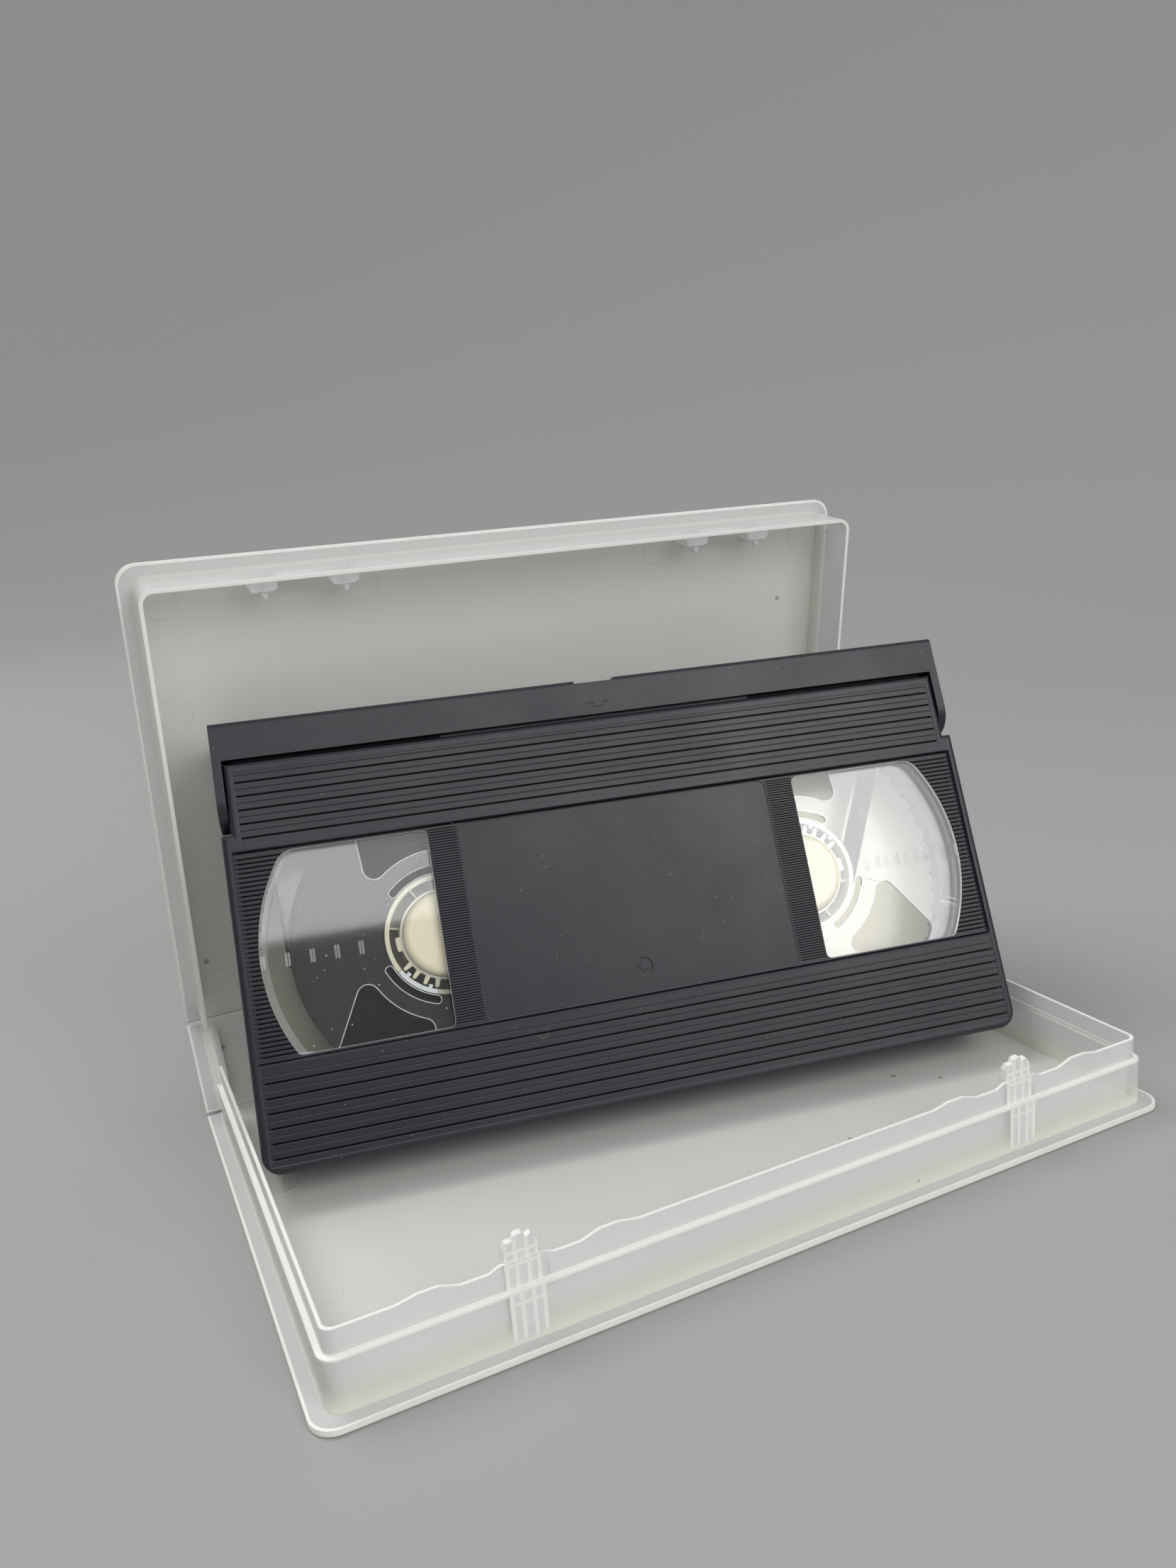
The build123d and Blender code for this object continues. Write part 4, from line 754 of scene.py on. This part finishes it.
def reel_plastic(name, matrix):
    """Ivory hub with painted shade in the well round its collar, and a greyer flange."""
    material, tree, shader = principled(name)
    point = local_point(tree, matrix)
    radius, height = from_axis(tree, point)
    # Painted shade in the deep well round the collar, fading towards its top.
    well = times(tree, band(tree, radius, *WELL_R, WELL_SOFT),
                 band(tree, height, -FAR, WELL_TOP, WELL_FADE))
    grain = place_group(tree, mould_grain, Vector=point, Scale=1500.0, Cloud=90.0)
    edge = place_group(tree, moulded_edge, Radius=REEL_EDGE_R)
    colour = mixed(tree, grain.outputs["Shade"], IVORY, IVORY_LIGHT)
    colour = mixed(tree, times(tree, well, WELL_SHADE_COVER), colour, WELL_SHADE_BROWN)
    colour = mixed(tree, band(tree, radius, HUB_R, FAR, HUB_SOFT), colour, FLANGE_TONE)
    bump = grain_bump(tree, grain, strength=0.1, depth=GRAIN_DEPTH,
                      Normal=edge.outputs["Normal"])
    set_inputs(tree, shader, Base_Color=colour, Normal=bump, Roughness=0.20)
    return material


supply_material = reel_plastic("ivory supply reel", supply_frame)
takeup_material = reel_plastic("ivory takeup reel", takeup_frame)
print("reels:", len(supply_material.node_tree.nodes), "nodes each")

# %% [markdown]
# ## Meshes from grids of points
# A new piece is worked out as an array of points: two parameters run along its rows and columns,
# and every cell of the grid becomes a face with four corners. Where a direction closes on
# itself, the last row or column joins the first one, so the surface has no seam.


# %% Grid meshes
def grid_quads(rows, columns, wrap_u=True, wrap_v=True):
    """The corner numbers of every cell of a grid; a wrapped direction closes on itself."""
    u = np.arange(rows if wrap_u else rows - 1)
    v = np.arange(columns if wrap_v else columns - 1)
    uu, vv = np.meshgrid(u, v, indexing="ij")
    next_u = (uu + 1) % rows
    next_v = (vv + 1) % columns
    return np.stack([uu * columns + vv, next_u * columns + vv, next_u * columns + next_v,
                     uu * columns + next_v], axis=-1).reshape(-1, 4)


def new_mesh(name, points, quads):
    """A mesh from an array of points (..., 3) and an array of faces."""
    mesh = bpy.data.meshes.new(name)
    mesh.from_pydata(points.reshape(-1, 3), [], quads.tolist())
    mesh.validate()
    mesh.update()
    return mesh


def moved(points, matrix):
    """Points of a moulding's own axes, in the frame's axes."""
    turn = np.array(matrix.to_3x3())
    return points @ turn.T + np.array(matrix.translation)


def link_mesh(name, mesh, material, smooth=True):
    """Gives a mesh its material and links it to the scene."""
    mesh.materials.append(material)
    mesh.polygons.foreach_set("use_smooth", [smooth] * len(mesh.polygons))
    piece = bpy.data.objects.new(name, mesh)
    scene.collection.objects.link(piece)
    return piece


print("a closed grid of 3 x 4 points has", len(grid_quads(3, 4)), "faces")

# %% [markdown]
# ## The wound tape
# From the side a pack of tape is a nearly black disc. Its layers don't end at quite the same
# height, so light catches rings of slightly different tone. The piece is a surface of
# revolution: its profile is the pack's section, with the side faces lowered by a small random
# amount from ring to ring. It takes the place of the plain disc.

# %% The tape pack
TAPE_LOW = 5.3 * MM
TAPE_HIGH = 18.0 * MM
PACK_IN = 14.45 * MM
PACK_OUT = 36.5 * MM
PACK_RINGS, PACK_STEPS = 90, 180
RING_DROP = 0.05 * MM
TAPE_TONE = (0.012, 0.010, 0.010, 1.0)
TAPE_CLOUD = (0.034, 0.029, 0.028, 1.0)


def tape_pack_mesh():
    """Revolves (radius, height): out along the top, down, back along the bottom, and up."""
    rng = np.random.default_rng(7)
    radius = np.linspace(PACK_IN, PACK_OUT, PACK_RINGS)
    lift = rng.uniform(-1.0, 0.0, PACK_RINGS) * RING_DROP
    lift[[0, -1]] = -RING_DROP
    top = np.stack([radius, TAPE_HIGH + lift], axis=-1)
    bottom = np.stack([radius[::-1], TAPE_LOW - lift[::-1]], axis=-1)
    profile = np.concatenate([top, bottom])
    turn = np.linspace(0, 2 * np.pi, PACK_STEPS, endpoint=False)[:, None]
    points = np.stack([profile[:, 0] * np.cos(turn), profile[:, 0] * np.sin(turn),
                       np.broadcast_to(profile[:, 1], (PACK_STEPS, len(profile)))], axis=-1)
    return new_mesh("tape_wound", moved(points, supply_frame),
                    grid_quads(PACK_STEPS, len(profile)))


def tape_material(name, matrix):
    """Near-black tape with faint rings about the reel's axis."""
    material, tree, shader = principled(name)
    radius = from_axis(tree, local_point(tree, matrix))[0]
    line = put(tree, "ShaderNodeCombineXYZ", X=radius).outputs[0]
    rings = put(tree, "ShaderNodeTexNoise", Vector=line, Scale=900.0, Detail=4.0).outputs[0]
    set_inputs(tree, shader, Base_Color=mixed(tree, rings, TAPE_TONE, TAPE_CLOUD),
               Roughness=0.40, Specular_IOR_Level=0.12)
    return material


pack_material = tape_material("wound tape", supply_frame)
tape_wound = link_mesh("tape_wound", tape_pack_mesh(), pack_material)
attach(tape_wound, "supply")
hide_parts("tape_pack")
print("tape pack:", PACK_RINGS, "rings,", len(tape_wound.data.polygons), "faces")

# %% [markdown]
# ## What the mould leaves on the case
# Ejector pins push a moulding out of its mould, and each leaves a faint round ring, painted a
# little paler than the panel as a highlight. They sit near the walls, where the plastic grips
# the mould. Each ring is a small torus, almost sunk into the panel, and all the rings of one
# panel are one piece.

# %% Ejector rings
RING_R = 4.2 * MM
RING_WIRE = 0.10 * MM
RING_STEPS, WIRE_STEPS = 40, 8
PANEL_TOP = 1.2 * MM
LID_INNER = 0.6 * MM
# Painted highlight tones for the rings.
RING_HIGHLIGHT_TONE = (0.88, 0.88, 0.83, 1.0)
RING_HIGHLIGHT_CLOUD = (0.93, 0.93, 0.89, 1.0)
lid_pins = [(-92.5, 116.4), (-92.5, 88.1), (-92.2, 42.6), (-91.5, 10.6), (-42.8, 116.1),
            (42.8, 116.1), (91.7, 116.1), (91.7, 42.6), (91.7, 10.6)]
tray_pins = [(-90.8, 18.8), (-91.5, -26.1), (90.8, -26.5), (90.8, 18.8), (0.0, 18.8)]


def torus_points(centres, lift):
    """Tori about Z, one to a centre (x, y): a small circle carried round a larger one."""
    around = np.linspace(0, 2 * np.pi, RING_STEPS, endpoint=False)[:, None]
    across = np.linspace(0, 2 * np.pi, WIRE_STEPS, endpoint=False)[None, :]
    reach = RING_R + RING_WIRE * np.cos(across)
    x = centres[:, 0, None, None] + reach * np.cos(around)
    y = centres[:, 1, None, None] + reach * np.sin(around)
    return np.stack([x, y, np.broadcast_to(lift + RING_WIRE * np.sin(across), x.shape)], axis=-1)


def ring_mesh(name, centres, lift, matrix):
    """All the rings of one panel, as one mesh; centres are in millimetres."""
    points = moved(torus_points(np.array(centres) * MM, lift), matrix)
    starts = np.arange(len(centres))[:, None, None] * RING_STEPS * WIRE_STEPS
    return new_mesh(name, points, (grid_quads(RING_STEPS, WIRE_STEPS) + starts).reshape(-1, 4))


def ring_material(name):
    """A painted highlight: a little paler than the panels, and see-through."""
    material, tree, shader = principled(name)
    point = local_point(tree, tray_frame)
    shade = place_group(tree, mould_grain, Vector=point, Scale=1400.0,
                        Cloud=60.0).outputs["Shade"]
    set_inputs(tree, shader, Base_Color=mixed(tree, shade, RING_HIGHLIGHT_TONE, RING_HIGHLIGHT_CLOUD),
               Alpha=blended(tree, shade, 0.2, 0.7), Roughness=0.4)
    return material


highlit_ring = ring_material("pale ejector ring")
for ring_name, pins, lift, matrix, body in (
        ("ejector_rings_lid", lid_pins, LID_INNER, lid_frame, "lid"),
        ("ejector_rings_tray", tray_pins, PANEL_TOP, tray_frame, "tray")):
    rings = link_mesh(ring_name, ring_mesh(ring_name, pins, lift, matrix), highlit_ring)
    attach(rings, body)
    print(ring_name, len(pins), "rings")

# %% [markdown]
# ## Hidden steel and engineering plastics
# The springs, pins and screws are plain steel, and the brakes and the catch are a grey
# engineering plastic. They only show when the door is open or from below, but they get their
# finish like the rest.


# %% Steel and plain mouldings
def steel_material(name):
    """Bright drawn steel with fine streaks."""
    material, tree, shader = principled(name)
    point = local_point(tree, cassette)
    grain = place_group(tree, mould_grain, Vector=point, Scale=5000.0, Cloud=300.0)
    set_inputs(tree, shader, Base_Color=(0.60, 0.60, 0.61, 1.0), Metallic=1.0,
               Roughness=blended(tree, grain.outputs["Shade"], 0.18, 0.42))
    return material


def plain_moulding(name, dark, light, rough):
    """A simple moulded finish for small inner parts, between a dark and a light tone."""
    material, tree, shader = principled(name)
    point = local_point(tree, cassette)
    grain = place_group(tree, mould_grain, Vector=point, Scale=2600.0, Cloud=200.0)
    set_inputs(tree, shader, Base_Color=mixed(tree, grain.outputs["Shade"], dark, light),
               Normal=grain_bump(tree, grain, strength=0.2, depth=GRAIN_DEPTH),
               Roughness=rough)
    return material


steel = steel_material("drawn steel")
brake_plastic = plain_moulding("grey brake plastic", dark=(0.16, 0.16, 0.17, 1.0),
                               light=(0.20, 0.20, 0.21, 1.0), rough=0.45)
roller_plastic = plain_moulding("white roller", dark=(0.74, 0.74, 0.72, 1.0),
                                light=(0.80, 0.80, 0.78, 1.0), rough=0.35)
clamp_plastic = plain_moulding("leader clamp", dark=(0.70, 0.70, 0.66, 1.0),
                               light=(0.78, 0.78, 0.74, 1.0), rough=0.4)
print("materials:", len(bpy.data.materials))

# %% [markdown]
# ## Each node gets its finish
# The frame's nodes keep their meshes and places. Only the material in their one slot changes.

# %% Finishes of the nodes
finishes = {
    "case_base": tray_material, "case_lid": lid_material, "case_spine": spine_material,
    "top_shell": shell_material, "bottom_shell": shell_material, "tape_door": shell_material,
    "window_left": left_clear, "window_right": right_clear,
    "supply_reel": supply_material, "takeup_reel": takeup_material,
    "supply_reel_flange": supply_clear, "takeup_reel_flange": takeup_clear,
    "supply_leader_clamp": clamp_plastic, "takeup_leader_clamp": clamp_plastic,
    "tape_run": pack_material, "tape_flap": supply_clear, "guide_roller": roller_plastic,
    "door_latch": brake_plastic, "brake_pawl_left": brake_plastic,
    "brake_pawl_right": brake_plastic, "brake_release_lever": brake_plastic,
    "door_spring": steel, "reel_leaf_spring": steel, "brake_spring": steel,
    "guide_pins": steel, "shell_screws": steel,
}
for node_name, finish in finishes.items():
    node_materials = frame["nodes"][node_name].data.materials
    node_materials.clear()
    node_materials.append(finish)
print("finished nodes:", len(finishes))

# %% [markdown]
# ## A plain studio: the paper
# The floor is pale and runs up into a round backdrop, as a paper sweep does, so no horizon
# shows. Both are surfaces of revolution about the object. Far from the lamps the paper would
# look darker, so its colour grows a little paler with the distance.

# %% Floor and backdrop
FLOOR_R = 1.7
SWEEP_R = 1.3
WALL_TOP = 4.0
BELOW_TRAY = -0.2 * MM
PIN_HOLE = 1e-5              # inner radius of the floor, so that no face has zero size
ARC_STEPS = 24
SWEEP_TONE = (0.375, 0.369, 0.361, 1.0)
SWEEP_FAR_TONE = (0.54, 0.531, 0.522, 1.0)
TONE_FROM, TONE_TO = 0.35, 1.9


def revolved(name, radius, height, steps=96):
    """Revolves a profile of radii and heights about Z."""
    turn = np.linspace(0, 2 * np.pi, steps, endpoint=False)[None, :]
    points = np.stack([radius[:, None] * np.cos(turn), radius[:, None] * np.sin(turn),
                       height[:, None] + 0 * turn], axis=-1)
    return new_mesh(name, points, grid_quads(len(radius), steps, wrap_u=False))


def sweep_material(name):
    """Pale grey paper; far from the lamps it is a little paler, so that no horizon shows."""
    material, tree, shader = principled(name)
    point = put(tree, "ShaderNodeTexCoord").outputs["Object"]
    far = ramp(tree, from_axis(tree, point)[0], TONE_FROM, TONE_TO)
    set_inputs(tree, shader, Base_Color=mixed(tree, far, SWEEP_TONE, SWEEP_FAR_TONE),
               Roughness=0.8)
    return material


paper = sweep_material("pale paper sweep")
arc = np.linspace(0, np.pi / 2, ARC_STEPS)
sweep_r = np.concatenate([FLOOR_R + SWEEP_R * np.sin(arc), [FLOOR_R + SWEEP_R]])
sweep_z = np.concatenate([SWEEP_R * (1 - np.cos(arc)), [WALL_TOP]]) + BELOW_TRAY
floor = link_mesh("floor", revolved("floor", np.array([PIN_HOLE, FLOOR_R / 2, FLOOR_R]),
                                    np.full(3, BELOW_TRAY)), paper)
backdrop = link_mesh("backdrop", revolved("backdrop", sweep_r, sweep_z), paper)
backdrop.visible_diffuse = False
backdrop.visible_shadow = False
print("backdrop radius (m):", FLOOR_R + SWEEP_R)

# %% [markdown]
# ## A plain studio: the dark card
# A clear pane or a dark shell is seen by what it mirrors, and a pale room all round would turn
# both grey. A studio stands a dark card where the mirrored rays end. This one is part of a
# cylinder on the camera's side, from below the floor up to the lamps, and only mirrored rays
# meet it.

# %% Card for the panes to mirror
CARD_R = 1.45
CARD_AZIMUTH = (-48, 40)     # degrees, right of -Y
CARD_HEIGHT = (-0.15, 0.83)
CARD_TONE = (0.03, 0.028, 0.025, 1.0)
CARD_STEPS = 24


def card_mesh(name):
    """Part of a cylinder about Z: azimuth right of -Y by height."""
    azimuth = np.radians(np.linspace(*CARD_AZIMUTH, CARD_STEPS))[:, None]
    height = np.array(CARD_HEIGHT)[None, :]
    points = np.stack([CARD_R * np.sin(azimuth) + 0 * height,
                       -CARD_R * np.cos(azimuth) + 0 * height, height + 0 * azimuth], axis=-1)
    return new_mesh(name, points, grid_quads(*points.shape[:2], wrap_u=False, wrap_v=False))


dark_card, card_tree, card_shader = principled("dark card")
set_inputs(card_tree, card_shader, Base_Color=CARD_TONE, Roughness=0.9)
card = link_mesh("mirror_card", card_mesh("mirror_card"), dark_card, smooth=False)
for ray in ("camera", "diffuse", "transmission", "volume_scatter", "shadow"):
    setattr(card, "visible_" + ray, False)
print("card:", len(card.data.polygons), "faces")

# %% [markdown]
# ## A plain studio: the lamps
# Two broad soft lamps stand where the camera meets the panes' mirror images: a bright one for
# the right pane and a weaker one whose lower edge crosses the left pane. A third lamp high
# behind lights the walls from above, and the world lifts the shadows.

# %% Lamps and world
PANE_X, PANE_Z = 1.4 * REEL_OFFSET, 24 * MM
LAMP_DISTANCE = 1.2
WORLD_TONE = (0.93, 0.95, 0.98, 1.0)
WORLD_STRENGTH = 0.50


def soft_lamp(name, place, aim, size, power):
    """A rectangular area lamp of (width, height) that looks at a point."""
    data = bpy.data.lights.new(name, "AREA")
    data.shape = "RECTANGLE"
    data.size, data.size_y = size
    data.energy = power
    lamp = bpy.data.objects.new(name, data)
    scene.collection.objects.link(lamp)
    direction = Vector(aim) - Vector(place)
    lamp.matrix_world = (Matrix.Translation(place)
                         @ direction.to_track_quat("-Z", "Y").to_matrix().to_4x4())
    lamp.visible_camera = False


def pane_lamp(name, side, azimuth, elevation, size, power):
    """A lamp seen from the left (-1) or right (1) pane, degrees right of -Y and upwards."""
    pane = cassette @ Vector((side * PANE_X, REEL_Y, PANE_Z))
    a, e = math.radians(azimuth), math.radians(elevation)
    way = Vector((math.sin(a) * math.cos(e), -math.cos(a) * math.cos(e), math.sin(e)))
    soft_lamp(name, pane + LAMP_DISTANCE * way, pane, size, power)


pane_lamp("bright", 1, azimuth=17.5, elevation=31.0, size=(0.53, 0.74), power=4.4)
pane_lamp("dim", -1, azimuth=-10.5, elevation=39.0, size=(0.66, 0.46), power=1.9)
soft_lamp("high", place=(-0.5, 0.6, 1.3), aim=(0, 0, 0.05), size=(0.9, 0.9), power=10.0)
world = bpy.data.worlds.new("studio")
scene.world = world
world.use_nodes = True
set_inputs(world.node_tree, world.node_tree.nodes["Background"], Color=WORLD_TONE,
           Strength=WORLD_STRENGTH)
scene.view_settings.view_transform = "Standard"
print("lamps:", [lamp.name for lamp in bpy.data.lights])
